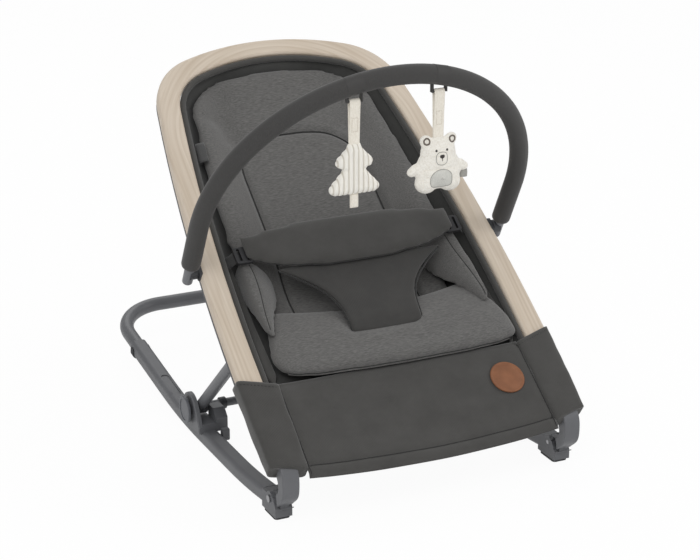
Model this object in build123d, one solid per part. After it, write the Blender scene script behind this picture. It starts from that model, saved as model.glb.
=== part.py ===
"""A fold-flat bouncer seat with a toy bar: each piece is its own solid, in one row frame.

Millimetres. X to the right, Y to the rear, Z up. The floor is z = 0 and the
origin lies under the middle of the length.
"""
import os
from math import cos, radians, sin, sqrt

from build123d import *

# Where the row starts and how the seat lies
FOOT_FRONT_Y = -336.5      # front faces of the front feet
SEAT_SLOPE = 36.0          # slope of the wooden frame above level
SEAT_REF_REACH = 89.3      # reference point of the frame's front face, behind the feet's faces
SEAT_REF_HEIGHT = 163.5
SIDE_X = 216.5             # middle of rail, leg, foot and bracket on each side
FIT = 0.4                  # gap between a moving piece and its neighbour
SEAT_FIT = 0.2             # gap between pieces that stay put

# Rocker rails and the rear tube
RAIL_WIDTH = 25.0
RAIL_HEIGHT = 23.0
RAIL_CORNER = 7.0
ROCKER_RADIUS = 1000.0
FLAT_FRONT = 170.0         # the flat stretch of the rail's underside
FLAT_REAR = 285.0
RAIL_FRONT = 42.0
REAR_SLOPE = 9.1           # slope of the straight rear part
RAIL_REAR = 572.0
TUBE_RADIUS = 11.0
TUBE_WALL = 1.3
INSERT_RADIUS = 8.5        # narrowed ends of the tube, inside the rails
TUBE_INSERT = 42.0
TUBE_REACH = 690.5         # middle of the rear bar, behind the feet's faces
TUBE_BEND = 80.0
RECESS_START = 398.0
RECESS_LENGTH = 62.0
RECESS_WIDTH = 12.0
RECESS_DEPTH = 1.2
REAR_PAD_INSET = 14.0      # front end of a rear pad, before the rail's end
REAR_PAD_LENGTH = 10.0
REAR_PAD_WALL = 2.0
REAR_PAD_RISE = 4.0        # ends of its U, above the rail's middle
SCREW_PLACES = (26.0, 38.0)
SCREW_RADIUS = 3.4
SCREW_HEAD = 2.0

# Fold linkage: the leg is as long as the lower arm of the seat, so its foot runs on a straight line
PIVOT_REACH = 20.0         # front pivot of the seat
PIVOT_HEIGHT = 25.5
LEG_LENGTH = 205.0         # equal to the distance from front pivot to leg pivot
LINK_ANGLE = 45.5          # angle of the lower arm above the line of the leg's foot
TRACK_SLOPE = 4.0          # slope of that line
LEG_RADIUS = 8.5
LEG_WALL = 1.5
EYE_RADIUS = 8.3
EYE_HALF = 9.2
POCKET_HALF = 10.2
POCKET_BELOW = 16.0        # pocket below the leg's pivot, and above it where the folded leg lies
POCKET_ABOVE = 44.0
POCKET_LENGTH = POCKET_BELOW + POCKET_ABOVE
LUG_THICK = 4.0
LUG_RADIUS = 7.0
PIN_RADIUS = 3.0
CROSSBAR_RADIUS = 6.2
CROSSBAR_WALL = 1.4
COLLAR_RADIUS = 9.0
COLLAR_LENGTH = 10.0

# Front feet and brackets
FOOT_LENGTH = 40.0
FOOT_WIDTH = 25.0
PAD_HEIGHT = 4.0
TONGUE_WIDTH = 12.0
TONGUE_RADIUS = 9.0
BRACKET_EDGE = 2.0
HOOK_FRONT = ((-23.5, 78.0), (-26.5, 58.0), (-20.0, 37.0), (-4.0, 22.0))
HOOK_REAR = ((-7.5, 62.0), (-9.5, 52.0), (-4.0, 42.5), (8.0, 36.0))

# Hinge housings and release buttons
CHEEK_RADIUS = 25.0
CHEEK_OUTER = 234.0
CHEEK_INNER = 227.0
BOX_OUTER = 206.5
BOX_INNER = 188.0
BOX_TOP = 52.0
HOUSING_FRONT = 268.0
HOUSING_REAR = 342.0
SADDLE_TOP = 33.0
BUTTON_RADIUS = 20.5
BUTTON_PROUD = 7.5
STEM_RADIUS = 7.0
BUTTON_TRAVEL = 4.0

# Rocking stops
STOP_GAP = 13.0            # middle of a stop before the hinge housing
STOP_REACH = HOUSING_FRONT - STOP_GAP
STOP_HEIGHT = 14.5
STOP_LENGTH = 14.4
STOP_PIN = 2.5
STOP_PIN_DEPTH = 8.0
STOP_WIDTH = 10.0
STOP_HALF = 5.5

# Wooden frame, in the seat plane: x across, s up the slope
WOOD_DEPTH = 13.0
FRAME_DEPTH = 22.0
FRAME_FOOT = -123.0
OUTER = ((598.5, 0.0), (576.0, 133.0), (497.0, 199.0), (FRAME_FOOT, 239.0))
INNER = ((570.0, 0.0), (549.0, 115.0), (484.4, 167.6), (FRAME_FOOT, 202.0))
WOOD_EDGE = 4.5
BACK_INSET = 1.5
RIM_WIDTH = 9.0
RIM_TOP = -3.5
RIM_BOTTOM = -12.5
RIM_FOOT = 6.0
RIM_GAP = 0.6
RIM_EDGE = 3.6

# Soft parts
CLOTH = 3.0
# Sling rows: s, half-width at the rim, level of the floor
SLING_WIDTHS = ((-4.0, 188.0, -20.0), (60.0, 189.0, -38.0), (160.0, 188.0, -71.0),
                (262.0, 184.0, -58.0), (400.0, 171.0, -54.0), (470.0, 158.0, -47.0),
                (505.0, 138.0, -42.0), (548.0, 92.0, -30.0), (560.0, 58.0, -18.0))
SLING_FLOOR = 0.92         # floor's share of the width
# Backrest rows: s, half-width, level of the edges, half-width and level of the sunk middle
BACKREST = ((176.0, 134.0, -50.0, 94.0, -53.0), (236.0, 166.0, -20.0, 96.0, -43.0),
            (300.0, 168.0, -15.0, 98.0, -41.0), (400.0, 160.0, -14.0, 96.0, -39.0),
            (470.0, 147.0, -14.0, 84.0, -33.0), (510.0, 122.0, -14.0, 66.0, -26.0),
            (546.0, 66.0, -14.0, 40.0, -15.0))
BACKREST_THICK = 9.0
SEAT_PAD = ((-6.0, 178.0, 8.0, 20.0), (58.0, 172.0, 3.0, 27.0), (110.0, 160.0, -16.0, 26.0),
            (166.0, 141.0, -44.0, 18.0))
# Hip pad rows: s, outer x, top level, inner x, bottom level
BOLSTER = ((76.0, 172.0, 8.0, 162.0, -2.5), (110.0, 173.0, 5.0, 146.0, -15.0), (145.0, 172.0, 2.0, 124.0, -32.0),
           (172.0, 170.0, -1.0, 118.0, -42.0))
PANEL_THICK = 7.0
PANEL_TOP = -11.0
PANEL_FOOT = -147.0
SLEEVE_WALL = 2.6
SLEEVE_TOP = 2.0
# Belt rows: x, middle s, width, middle level, thickness
BELT = ((0.0, 206.0, 86.0, 14.0, 16.0), (90.0, 208.0, 80.0, 12.5, 15.0), (130.0, 210.0, 62.0, 11.0, 12.0),
        (152.0, 213.0, 46.0, 9.5, 8.0))
FLAP = ((57.0, 56.0, 7.0), (115.0, 66.0, 5.0), (172.0, 118.0, 2.0))
FLAP_THICK = 5.0
BUCKLE_X = 166.0
BUCKLE_S = 207.0
BUCKLE_WIDTH = 26.0
BUCKLE_LENGTH = 28.0
BUCKLE_THICK = 5.0
BUCKLE_LEVEL = 3.0
WEBBING_WIDTH = 19.0
WEBBING_THICK = 1.8
WEBBING_START = 158.0
WEBBING_BEND = 177.5
WEBBING_END = 186.8
WEBBING_FOOT = -9.2
BADGE_X = 147.0
BADGE_S = -60.0
BADGE_RADIUS = 25.5
BADGE_THICK = 2.4
TAG_S = 404.0
TAG_X = 160.0
TAG_LENGTH = 34.0
TAG_WIDTH = 13.0
TAG_THICK = 1.6

# Toy bar: an arch in a plane that leans to the front
ARCH_LEAN = 118.0          # slope of the arch's plane, from level at the rear
BAR_PIVOT_S = 200.3        # the bar turns here on the frame's outer edge
BAR_PIVOT_LEVEL = -7.9
MOUNT_INSET = 3.6          # mount's outer face inside the frame's widest point
HUB_GAP = 0.6
HUB_SINK = 11.0            # bar's middle behind the hub's inner face
MOUNT_OUTER = OUTER[-1][1] - MOUNT_INSET
HUB_INNER = MOUNT_OUTER + HUB_GAP
ARCH_HALF = HUB_INNER + HUB_SINK
ARCH_LEG = 72.0
FOAM_RADIUS = 12.5
BAR_RADIUS = 7.5
BAR_WALL = 1.2
BAR_TAIL = 30.0            # bar below the foam
BAR_PIVOT_DROP = 15.0      # pivot below the foam's end
HUB_RADIUS = 10.0
MOUNT_SIZE = 26.0
STUD_RADIUS = 4.5
STUD_REACH = 2.6
PLUG_LENGTH = 8.0
PLUG_CAP = 4.0

# Hanging toys
TOY_X = 63.5
STRAP_WIDTH = 17.0
STRAP_THICK = 3.0
LOOP_DROP = 22.0           # hanging rod below the bar's middle
ROD_RADIUS = 1.6
EYE_BORE = 2.1
EYE_OUTER = 4.0
BAND_WALL = 0.9
BAND_WIDTH = 23.5
TREE_STRAP = 59.0
BEAR_STRAP = 64.0
TREE_WIDTH = 74.0
TREE_HEIGHT = 70.0
TREE_THICK = 16.0
TRUNK_WIDTH = 12.0
TRUNK_LENGTH = 20.0
BEAR_HEIGHT = 81.0
BEAR_WIDTH = 72.0
BEAR_THICK = 28.0
EAR_RADIUS = 9.6
ARM_LENGTH = 10.0
BELLY_DROP = 0.65          # middle of the belly, as a share of the height
MUZZLE_WIDTH = 17.0
PATCH_WIDTH = 33.0
PATCH_HEIGHT = 25.5
PATCH_THICK = 1.6


def back(reach: float) -> float:
    """Row y of a point this far behind the front faces of the feet."""
    return FOOT_FRONT_Y + reach


def mirrored(shape):
    """The same piece for the other side."""
    return mirror(shape, about=Plane.YZ)


SLOPE_COS = cos(radians(SEAT_SLOPE))
SLOPE_SIN = sin(radians(SEAT_SLOPE))
SEAT_REF = (0, back(SEAT_REF_REACH), SEAT_REF_HEIGHT)
SEAT = Plane(origin=SEAT_REF, x_dir=(1, 0, 0), z_dir=(0, -SLOPE_SIN, SLOPE_COS))
SIDE = Plane(origin=(0, 0, 0), x_dir=(0, 1, 0), z_dir=(1, 0, 0))


def seat_point(s: float, n: float) -> tuple:
    """Row y and z of a point s up the slope and n above the frame's front face."""
    y = back(SEAT_REF_REACH) + s * SLOPE_COS - n * SLOPE_SIN
    z = SEAT_REF_HEIGHT + s * SLOPE_SIN + n * SLOPE_COS
    return y, z


def seat_section(s: float) -> Plane:
    """Plane across the seat at s, with x across and y out of the frame's front face."""
    y, z = seat_point(s, 0)
    return Plane(origin=(0, y, z), x_dir=(1, 0, 0), z_dir=(0, -SLOPE_COS, -SLOPE_SIN))


def rod(x0: float, x1: float, y: float, z: float, radius: float):
    """A round rod along X."""
    return Location(((x0 + x1) / 2, y, z), (0, 90, 0)) * Cylinder(radius, x1 - x0)


def slab(profile, x0: float, x1: float):
    """A side profile, drawn in Y and Z, given its width along X."""
    return Pos(x0, 0, 0) * extrude(SIDE * profile, x1 - x0, dir=(1, 0, 0))


# Points of the linkage
PIVOT_Y = back(PIVOT_REACH)
LINK_SPAN = 2 * LEG_LENGTH * cos(radians(LINK_ANGLE))
BAR_Y = PIVOT_Y + LINK_SPAN * cos(radians(TRACK_SLOPE))
BAR_Z = PIVOT_HEIGHT + LINK_SPAN * sin(radians(TRACK_SLOPE))
LEG_Y = PIVOT_Y + LEG_LENGTH * cos(radians(LINK_ANGLE + TRACK_SLOPE))
LEG_Z = PIVOT_HEIGHT + LEG_LENGTH * sin(radians(LINK_ANGLE + TRACK_SLOPE))
LEG_LEAN = LINK_ANGLE - TRACK_SLOPE

# Points of the toy bar
ARCH_DIR = (0, cos(radians(ARCH_LEAN)), sin(radians(ARCH_LEAN)))
BAR_PIVOT_Y, BAR_PIVOT_Z = seat_point(BAR_PIVOT_S, BAR_PIVOT_LEVEL)
ARCH_Y = BAR_PIVOT_Y + BAR_PIVOT_DROP * ARCH_DIR[1]
ARCH_Z = BAR_PIVOT_Z + BAR_PIVOT_DROP * ARCH_DIR[2]
ARCH = Plane(origin=(0, ARCH_Y, ARCH_Z), x_dir=(1, 0, 0), z_dir=(0, -ARCH_DIR[2], ARCH_DIR[1]))
TOY_V = ARCH_LEG + sqrt(ARCH_HALF ** 2 - TOY_X ** 2)
TOY_Y = ARCH_Y + TOY_V * ARCH_DIR[1]
TOY_BAR_Z = ARCH_Z + TOY_V * ARCH_DIR[2]
TOY_Z = TOY_BAR_Z - LOOP_DROP


def rail_path():
    """Middle line of a rocker rail, from front to rear."""
    radius = ROCKER_RADIUS - RAIL_HEIGHT / 2
    front_turn = (FLAT_FRONT - RAIL_FRONT) / ROCKER_RADIUS
    front = (back(FLAT_FRONT) - radius * sin(front_turn), ROCKER_RADIUS - radius * cos(front_turn))
    front_mid = (back(FLAT_FRONT) - radius * sin(front_turn / 2),
                 ROCKER_RADIUS - radius * cos(front_turn / 2))
    flat_start = (back(FLAT_FRONT), RAIL_HEIGHT / 2)
    flat_end = (back(FLAT_REAR), RAIL_HEIGHT / 2)
    turn = radians(REAR_SLOPE)
    rear_mid = (back(FLAT_REAR) + radius * sin(turn / 2), ROCKER_RADIUS - radius * cos(turn / 2))
    rear = (back(FLAT_REAR) + radius * sin(turn), ROCKER_RADIUS - radius * cos(turn))
    run = (back(RAIL_REAR) - rear[0]) / cos(turn)
    end = (rear[0] + run * cos(turn), rear[1] + run * sin(turn))
    line = ThreePointArc(front, front_mid, flat_start)
    line += Line(flat_start, flat_end)
    line += ThreePointArc(flat_end, rear_mid, rear)
    line += Line(rear, end)
    return line, end


RAIL_LINE, RAIL_END = rail_path()


def rear_tube_parts():
    """The U-shaped rear tube with narrowed ends, and the solid shape the rails' bores are cut with."""
    turn = radians(REAR_SLOPE)
    reach = (back(TUBE_REACH) - RAIL_END[0]) / cos(turn)
    flat = Plane(origin=(0, RAIL_END[0], RAIL_END[1]), x_dir=(1, 0, 0), z_dir=(0, -sin(turn), cos(turn)))
    path = flat * FilletPolyline((-SIDE_X, SEAT_FIT), (-SIDE_X, reach), (SIDE_X, reach), (SIDE_X, SEAT_FIT),
                                 radius=TUBE_BEND)
    mouth = Plane(origin=path @ 0, z_dir=path % 0)
    tube = sweep(mouth * (Circle(TUBE_RADIUS) - Circle(TUBE_RADIUS - TUBE_WALL)), path=path)
    bores = []
    for side in (-SIDE_X, SIDE_X):
        end = Plane(origin=flat.from_local_coords((side, SEAT_FIT, 0)), z_dir=flat.y_dir)
        narrow = Circle(INSERT_RADIUS - TUBE_WALL)
        tube += extrude(end * (Circle(TUBE_RADIUS - TUBE_WALL / 2) - narrow), TUBE_WALL)
        tube += extrude(end * (Circle(INSERT_RADIUS) - narrow), -TUBE_INSERT)
        bores.append(extrude(end * Circle(INSERT_RADIUS + SEAT_FIT), -TUBE_INSERT - FIT))
    return tube, bores


REAR_TUBE, REAR_BORES = rear_tube_parts()


def rail_recess():
    """Bare shallow recess in the top of a rail."""
    turn = radians(REAR_SLOPE)
    middle = RECESS_START + RECESS_LENGTH / 2
    rise = (back(middle) - RAIL_END[0]) * sin(turn) / cos(turn)
    top = RAIL_END[1] + rise + RAIL_HEIGHT / 2 / cos(turn)
    spot = Location((-SIDE_X, back(middle), top), (REAR_SLOPE, 0, 0))
    return spot * extrude(RectangleRounded(RECESS_WIDTH, RECESS_LENGTH, 5.5), RECESS_DEPTH, both=True)


def left_rail():
    """Rocker rail, with the bore for the rear tube, the bare recess and the stop's bore."""
    mouth = Plane(origin=(SIDE * RAIL_LINE) @ 0, x_dir=(1, 0, 0), z_dir=(SIDE * RAIL_LINE) % 0)
    rail = sweep(mouth * RectangleRounded(RAIL_WIDTH, RAIL_HEIGHT, RAIL_CORNER), path=SIDE * RAIL_LINE)
    rail = Pos(-SIDE_X, 0, 0) * rail
    rail -= REAR_BORES[0]
    rail -= rail_recess()
    inner = -SIDE_X + RAIL_WIDTH / 2
    rail -= rod(inner - STOP_PIN_DEPTH - 1, inner + 1, back(STOP_REACH), STOP_HEIGHT, STOP_PIN + FIT)
    return rail


LEFT_RAIL = left_rail()


def left_foot():
    """Front foot: a fork that carries the seat's front pivot, closed at the rear where it meets the rail."""
    front, rear = back(0), back(FOOT_LENGTH + 6)
    block = make_face(Polyline((front, PAD_HEIGHT), (rear, PAD_HEIGHT), (rear, PIVOT_HEIGHT + 5),
                               (front + 8, PIVOT_HEIGHT + 5), (front, PIVOT_HEIGHT - 8), close=True))
    block += Pos(PIVOT_Y, PIVOT_HEIGHT) * Circle(TONGUE_RADIUS + 1.5)
    x0, x1 = -SIDE_X - FOOT_WIDTH / 2, -SIDE_X + FOOT_WIDTH / 2
    foot = slab(block, x0, x1)
    slot_half = TONGUE_WIDTH / 2 + FIT
    slot_rear = PIVOT_Y + TONGUE_RADIUS + 2
    slot_floor = PIVOT_HEIGHT - TONGUE_RADIUS - 1
    slot = make_face(Polyline((front - 5, slot_floor), (slot_rear, slot_floor),
                              (slot_rear, slot_floor + 60), (front - 5, slot_floor + 60), close=True))
    foot -= slab(slot, -SIDE_X - slot_half, -SIDE_X + slot_half)
    foot -= rod(x0 - 1, x1 + 1, PIVOT_Y, PIVOT_HEIGHT, PIN_RADIUS + SEAT_FIT)
    return foot - LEFT_RAIL


def left_foot_pad():
    """Rubber pad under a front foot."""
    spot = Pos(-SIDE_X, back(FOOT_LENGTH / 2 + 3), PAD_HEIGHT / 2)
    pad = spot * extrude(RectangleRounded(FOOT_WIDTH - 2, FOOT_LENGTH, 5), PAD_HEIGHT / 2, both=True)
    return pad - LEFT_RAIL


def left_bracket():
    """Hook-shaped front bracket, from the frame's lower end to a tongue on the front pivot."""
    top_front = seat_point(FRAME_FOOT - SEAT_FIT, 0)
    top_rear = seat_point(FRAME_FOOT - SEAT_FIT, -FRAME_DEPTH)
    lead = (-SLOPE_COS, -SLOPE_SIN)
    low = (PIVOT_Y, PIVOT_HEIGHT - TONGUE_RADIUS)
    high = (PIVOT_Y, PIVOT_HEIGHT + TONGUE_RADIUS)
    front_bows = [(back(reach), height) for reach, height in HOOK_FRONT]
    rear_bows = [(back(reach), height) for reach, height in HOOK_REAR]
    front = Spline(top_front, *front_bows, low, tangents=(lead, (1, 0)))
    rear = Spline(top_rear, *rear_bows, high, tangents=(lead, (1, 0)))
    tip = ThreePointArc(low, (PIVOT_Y + TONGUE_RADIUS, PIVOT_HEIGHT), high)
    outline = make_face([front, tip, rear, Line(top_rear, top_front)])
    half = RAIL_WIDTH / 2
    hook = slab(outline, -SIDE_X - half, -SIDE_X + half)
    shoulder = make_face(Polyline((back(-5), -5), (back(60), -5), (back(60), 60), (back(9), 60),
                                  (back(-3), 36.5), (back(-5), 30), close=True))
    reach = 60
    narrow = TONGUE_WIDTH / 2
    hook -= slab(shoulder, -SIDE_X - reach, -SIDE_X - narrow)
    hook -= slab(shoulder, -SIDE_X + narrow, -SIDE_X + reach)
    hook = fillet(long_edges(hook, 30), BRACKET_EDGE)
    return hook - rod(-SIDE_X - 30, -SIDE_X + 30, PIVOT_Y, PIVOT_HEIGHT, PIN_RADIUS + FIT)


def left_pivot_pin():
    """Headed pin through foot and bracket."""
    x0, x1 = -SIDE_X - FOOT_WIDTH / 2, -SIDE_X + FOOT_WIDTH / 2
    pin = rod(x0 - 0.5, x1, PIVOT_Y, PIVOT_HEIGHT, PIN_RADIUS)
    return pin + rod(x0 - 2.2, x0, PIVOT_Y, PIVOT_HEIGHT, PIN_RADIUS + 2.2)


def left_housing():
    """Hinge housing on the rail: round outer cheek, saddle and the stop box for the crossbar."""
    circle = Pos(BAR_Y, BAR_Z) * Circle(CHEEK_RADIUS)
    front, rear = back(HOUSING_FRONT), back(HOUSING_REAR)
    low = RAIL_HEIGHT - 3
    skirt = make_face(Polyline((front, low), (rear, low + 1), (rear, low + 11), (BAR_Y + 21, BAR_Z + 13),
                               (BAR_Y - 21, BAR_Z + 13), (front, low + 9), close=True))
    cheek = slab(circle + skirt, -CHEEK_OUTER, -CHEEK_INNER)
    cheek = fillet(cheek.faces().sort_by(Axis.X)[0].edges(), 2.0)
    saddle_side = make_face(Polyline((front, low), (rear - 10, low), (rear - 10, SADDLE_TOP),
                                     (front, SADDLE_TOP), close=True))
    saddle = slab(saddle_side, -CHEEK_INNER - 1, -BOX_OUTER + 1)
    stop_face = BAR_Y - CROSSBAR_RADIUS - FIT
    box_side = make_face(Polyline((front, low), (stop_face, low), (stop_face, BOX_TOP),
                                  (front + 12, BOX_TOP), (front, BOX_TOP - 12), close=True))
    box = slab(box_side, -BOX_OUTER, -BOX_INNER)
    box = fillet(box.faces().sort_by(Axis.X)[-1].edges(), 2.5)
    housing = cheek + saddle + box
    housing -= rod(-CHEEK_OUTER - 1, -CHEEK_INNER + 1, BAR_Y, BAR_Z, STEM_RADIUS + FIT)
    return housing - LEFT_RAIL


def left_button():
    """Round release button with a dished face and a stem through the cheek."""
    x_in = -CHEEK_OUTER - BUTTON_TRAVEL - 0.6
    x_out = x_in - BUTTON_PROUD + BUTTON_TRAVEL
    disc = rod(x_out, x_in, BAR_Y, BAR_Z, BUTTON_RADIUS)
    disc = fillet(disc.edges().group_by(Axis.X)[0], 1.6)
    disc -= rod(x_out - 1, x_out + 0.8, BAR_Y, BAR_Z, BUTTON_RADIUS - 4.5)
    return disc + rod(x_in - 1, -CHEEK_INNER - BUTTON_TRAVEL + 0.8, BAR_Y, BAR_Z, STEM_RADIUS)


def left_stop():
    """Flip-down rocking stop on the rail's inner face, with its pin."""
    x0 = -SIDE_X + RAIL_WIDTH / 2 + FIT
    x1 = x0 + 2 * STOP_HALF
    y = back(STOP_REACH)
    arm = Pos(y, STOP_HEIGHT) * Circle(STOP_WIDTH / 2)
    arm += Pos(y, STOP_HEIGHT + STOP_LENGTH / 2) * RectangleRounded(STOP_WIDTH, STOP_LENGTH, 2.5)
    lever = slab(arm, x0, x1)
    lever = fillet(lever.faces().sort_by(Axis.X)[-1].edges(), 1.2)
    return lever + rod(x0 - STOP_PIN_DEPTH, x0 + 2, y, STOP_HEIGHT, STOP_PIN)


def left_rear_pad():
    """U-shaped rubber foot clipped under the rear end of a rail."""
    turn = radians(REAR_SLOPE)
    inset_y, inset_z = REAR_PAD_INSET * cos(turn), REAR_PAD_INSET * sin(turn)
    tip = Plane(origin=(-SIDE_X, RAIL_END[0] - inset_y, RAIL_END[1] - inset_z),
                x_dir=(1, 0, 0), z_dir=(0, cos(turn), sin(turn)))
    grow = 2 * REAR_PAD_WALL
    outer = RectangleRounded(RAIL_WIDTH + grow, RAIL_HEIGHT + grow, RAIL_CORNER + REAR_PAD_WALL)
    inner = RectangleRounded(RAIL_WIDTH + SEAT_FIT, RAIL_HEIGHT + SEAT_FIT, RAIL_CORNER + SEAT_FIT / 2)
    lower = Pos(0, RAIL_HEIGHT / 2) * Rectangle(2 * RAIL_WIDTH, RAIL_HEIGHT + 2 * REAR_PAD_RISE)
    return extrude(tip * ((outer - inner) & lower), REAR_PAD_LENGTH)


def rail_screws():
    """Round-headed screws on the inner faces of the rails that hold the rear tube."""
    turn = radians(REAR_SLOPE)
    face = -SIDE_X + RAIL_WIDTH / 2
    heads = []
    for distance in SCREW_PLACES:
        y = RAIL_END[0] - distance * cos(turn)
        z = RAIL_END[1] - distance * sin(turn)
        head = rod(face, face + SCREW_HEAD, y, z, SCREW_RADIUS)
        head = fillet(head.edges().group_by(Axis.X)[-1], 0.9)
        heads += [head, mirrored(head)]
    return Compound(children=heads)


def half_outline(points):
    """Right half of a horseshoe outline as three tangent arcs, from the crown down."""
    (s0, x0), (s1, x1), (s2, x2), (s3, x3) = points
    crown = TangentArc((x0, s0), (x1, s1), tangent=(1, 0))
    shoulder = TangentArc((x1, s1), (x2, s2), tangent=crown % 1)
    side = TangentArc((x2, s2), (x3, s3), tangent=shoulder % 1)
    return [crown, shoulder, side]


def horseshoe(points):
    """Face inside a horseshoe outline, closed by a straight foot."""
    right = half_outline(points)
    left = [mirror(edge, about=Plane.YZ) for edge in right]
    foot_s, foot_x = points[-1]
    return make_face(right + left + [Line((-foot_x, foot_s), (foot_x, foot_s))])


def above(foot: float):
    """Face that covers the frame's plane above this s."""
    length = OUTER[0][0] - foot
    return Pos(0, foot + length / 2) * Rectangle(3 * OUTER[-1][1], length)


OUTER_FACE = horseshoe(OUTER)
INNER_FACE = horseshoe(INNER)


def long_edges(shape, length: float = 60.0):
    """Edges of a shape that run along it, not across."""
    return shape.edges().filter_by(lambda edge: edge.length > length)


def wood_frame():
    """Bentwood face of the frame, with rounded front edges."""
    band = extrude(OUTER_FACE - INNER_FACE, -WOOD_DEPTH)
    return SEAT * fillet(long_edges(band.faces().sort_by(Axis.Z)[-1]), WOOD_EDGE)


def frame_back():
    """Back shell of the frame, with pockets for the leg eyes and a pair of lugs beside each."""
    ring = offset(OUTER_FACE, -BACK_INSET) - offset(INNER_FACE, BACK_INSET)
    ring &= above(FRAME_FOOT)
    depth = FRAME_DEPTH - WOOD_DEPTH - SEAT_FIT
    shell = SEAT * (Pos(0, 0, -FRAME_DEPTH) * extrude(ring, depth))
    lug_end = POCKET_HALF + LUG_THICK
    for middle in (-SIDE_X, SIDE_X):
        shell += rod(middle - lug_end, middle + lug_end, LEG_Y, LEG_Z, LUG_RADIUS)
        spot = Pos(middle, LEG_Y, LEG_Z) * Rot(SEAT_SLOPE, 0, 0) * Pos(0, POCKET_ABOVE - POCKET_LENGTH / 2, 0)
        shell -= spot * Box(2 * POCKET_HALF, POCKET_LENGTH, 2 * (EYE_RADIUS + FIT))
        shell -= rod(middle - lug_end - 1, middle + lug_end + 1, LEG_Y, LEG_Z, PIN_RADIUS + SEAT_FIT / 2)
    return shell


def sling_rim():
    """Hemmed edge of the sling that lies along the inside of the wood."""
    outer = offset(INNER_FACE, -RIM_GAP)
    inner = offset(INNER_FACE, -RIM_GAP - RIM_WIDTH)
    rim = extrude((outer - inner) & above(RIM_FOOT), RIM_TOP - RIM_BOTTOM)
    return SEAT * (Pos(0, 0, RIM_BOTTOM) * fillet(long_edges(rim), RIM_EDGE))


def seat_sling():
    """The sling: a hammock of cloth hung from the rim."""
    edge = RIM_BOTTOM - FIT
    sections = []
    for s, half, depth in SLING_WIDTHS:
        floor_half = half * SLING_FLOOR
        points = [(-half, edge), (-floor_half, depth), (floor_half, depth), (half, edge),
                  (half - CLOTH, edge), (floor_half - CLOTH / 2, depth + CLOTH),
                  (-floor_half + CLOTH / 2, depth + CLOTH), (-half + CLOTH, edge)]
        sections.append(seat_section(s) * make_face(Polyline(*points, close=True)))
    return loft(sections, ruled=True)


def backrest_pad():
    """Backrest inlay: a padded mat with a sunk middle and raised sides, up to an arched top."""
    sections = []
    for s, half, edge, floor_half, floor in BACKREST:
        right = [(floor_half, floor), (half, edge), (half, edge - BACKREST_THICK),
                 (floor_half, floor - BACKREST_THICK)]
        left = [(-x, level) for x, level in reversed(right)]
        sections.append(seat_section(s) * make_face(Polyline(*right, *left, close=True)))
    return loft(sections, ruled=True)


def cushion(rows, corner: float):
    """A padded piece through rounded sections: each row gives s, half-width, top level and thickness."""
    sections = []
    for s, half, top, thick in rows:
        radius = min(corner, thick / 2 - 0.3)
        shape = Pos(0, top - thick / 2) * RectangleRounded(2 * half, thick, radius)
        sections.append(seat_section(s) * shape)
    return loft(sections, ruled=True)


def left_bolster():
    """Three-sided wedge pad beside the hip, from a tip at the front to its full height at the rear."""
    sections = []
    for s, outer, top, inner, bottom in BOLSTER:
        corners = ((-outer, top), (-inner, bottom), (-outer, bottom))
        sections.append(seat_section(s) * make_face(Polyline(*corners, close=True)))
    return loft(sections, ruled=True)


def front_panel():
    """Cloth panel between the frame's lower arms."""
    half = INNER[-1][1] - SLEEVE_WALL - SEAT_FIT - 3.0
    outline = make_face(Polyline((-half, PANEL_FOOT), (half, PANEL_FOOT), (half, PANEL_TOP),
                                 (-half, PANEL_TOP), close=True))
    panel = extrude(outline, PANEL_THICK)
    panel = fillet(panel.edges().filter_by(Plane.XY), 2.8)
    return SEAT * (Pos(0, 0, -PANEL_THICK) * panel)


def left_sleeve():
    """Cloth sleeve over the lower arm of the frame."""
    length = SLEEVE_TOP - FRAME_FOOT
    middle = FRAME_FOOT + length / 2
    outer_x = OUTER[-1][1] + SLEEVE_WALL + 1.5
    inner_x = INNER[-1][1] - SLEEVE_WALL
    box = Pos(-(outer_x + inner_x) / 2, middle) * Rectangle(outer_x - inner_x, length)
    shell = extrude(box, FRAME_DEPTH + 2 * SLEEVE_WALL)
    shell = fillet(shell.edges().filter_by(Axis.Y), 4.0)
    shell = Pos(0, 0, -FRAME_DEPTH - SLEEVE_WALL) * shell
    gap = offset(OUTER_FACE, SEAT_FIT) - offset(INNER_FACE, -SEAT_FIT)
    window = Pos(-INNER[-1][1] - 30 + SEAT_FIT, middle) * Rectangle(60, length + 1)
    hollow = extrude(gap & window, FRAME_DEPTH + 2 * SEAT_FIT)
    return SEAT * (shell - Pos(0, 0, -FRAME_DEPTH - SEAT_FIT) * hollow)


def waist_belt():
    """Padded belt: a soft roll over the lap that thins out towards the buckles."""
    rows = [(-x, *rest) for x, *rest in reversed(BELT[1:])] + list(BELT)
    sections = []
    for x, s, width, level, thick in rows:
        y, z = seat_point(s, level)
        across = Plane(origin=(x, y, z), x_dir=(0, SLOPE_COS, SLOPE_SIN), z_dir=(1, 0, 0))
        sections.append(across * RectangleRounded(width, thick, thick / 2 - 0.2))
    return loft(sections)


def crotch_flap():
    """Tongue from the belt down to the seat pad."""
    sections = []
    for s, half, level in FLAP:
        shape = Pos(0, level) * RectangleRounded(2 * half, FLAP_THICK, 2.2)
        sections.append(seat_section(s) * shape)
    return loft(sections, ruled=True)


def left_buckle():
    """Ladder-lock buckle with its two webbing slots."""
    plate = RectangleRounded(BUCKLE_WIDTH, BUCKLE_LENGTH, 4)
    slot = RectangleRounded(4.2, WEBBING_WIDTH + 2, 1.5)
    plate -= Pos(-6, 0) * slot
    plate -= Pos(6, 0) * slot
    body = extrude(plate, BUCKLE_THICK)
    body = fillet(body.faces().sort_by(Axis.Z)[-1].outer_wire().edges(), 1.2)
    return SEAT * (Pos(-BUCKLE_X, BUCKLE_S, BUCKLE_LEVEL) * body)


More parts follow.
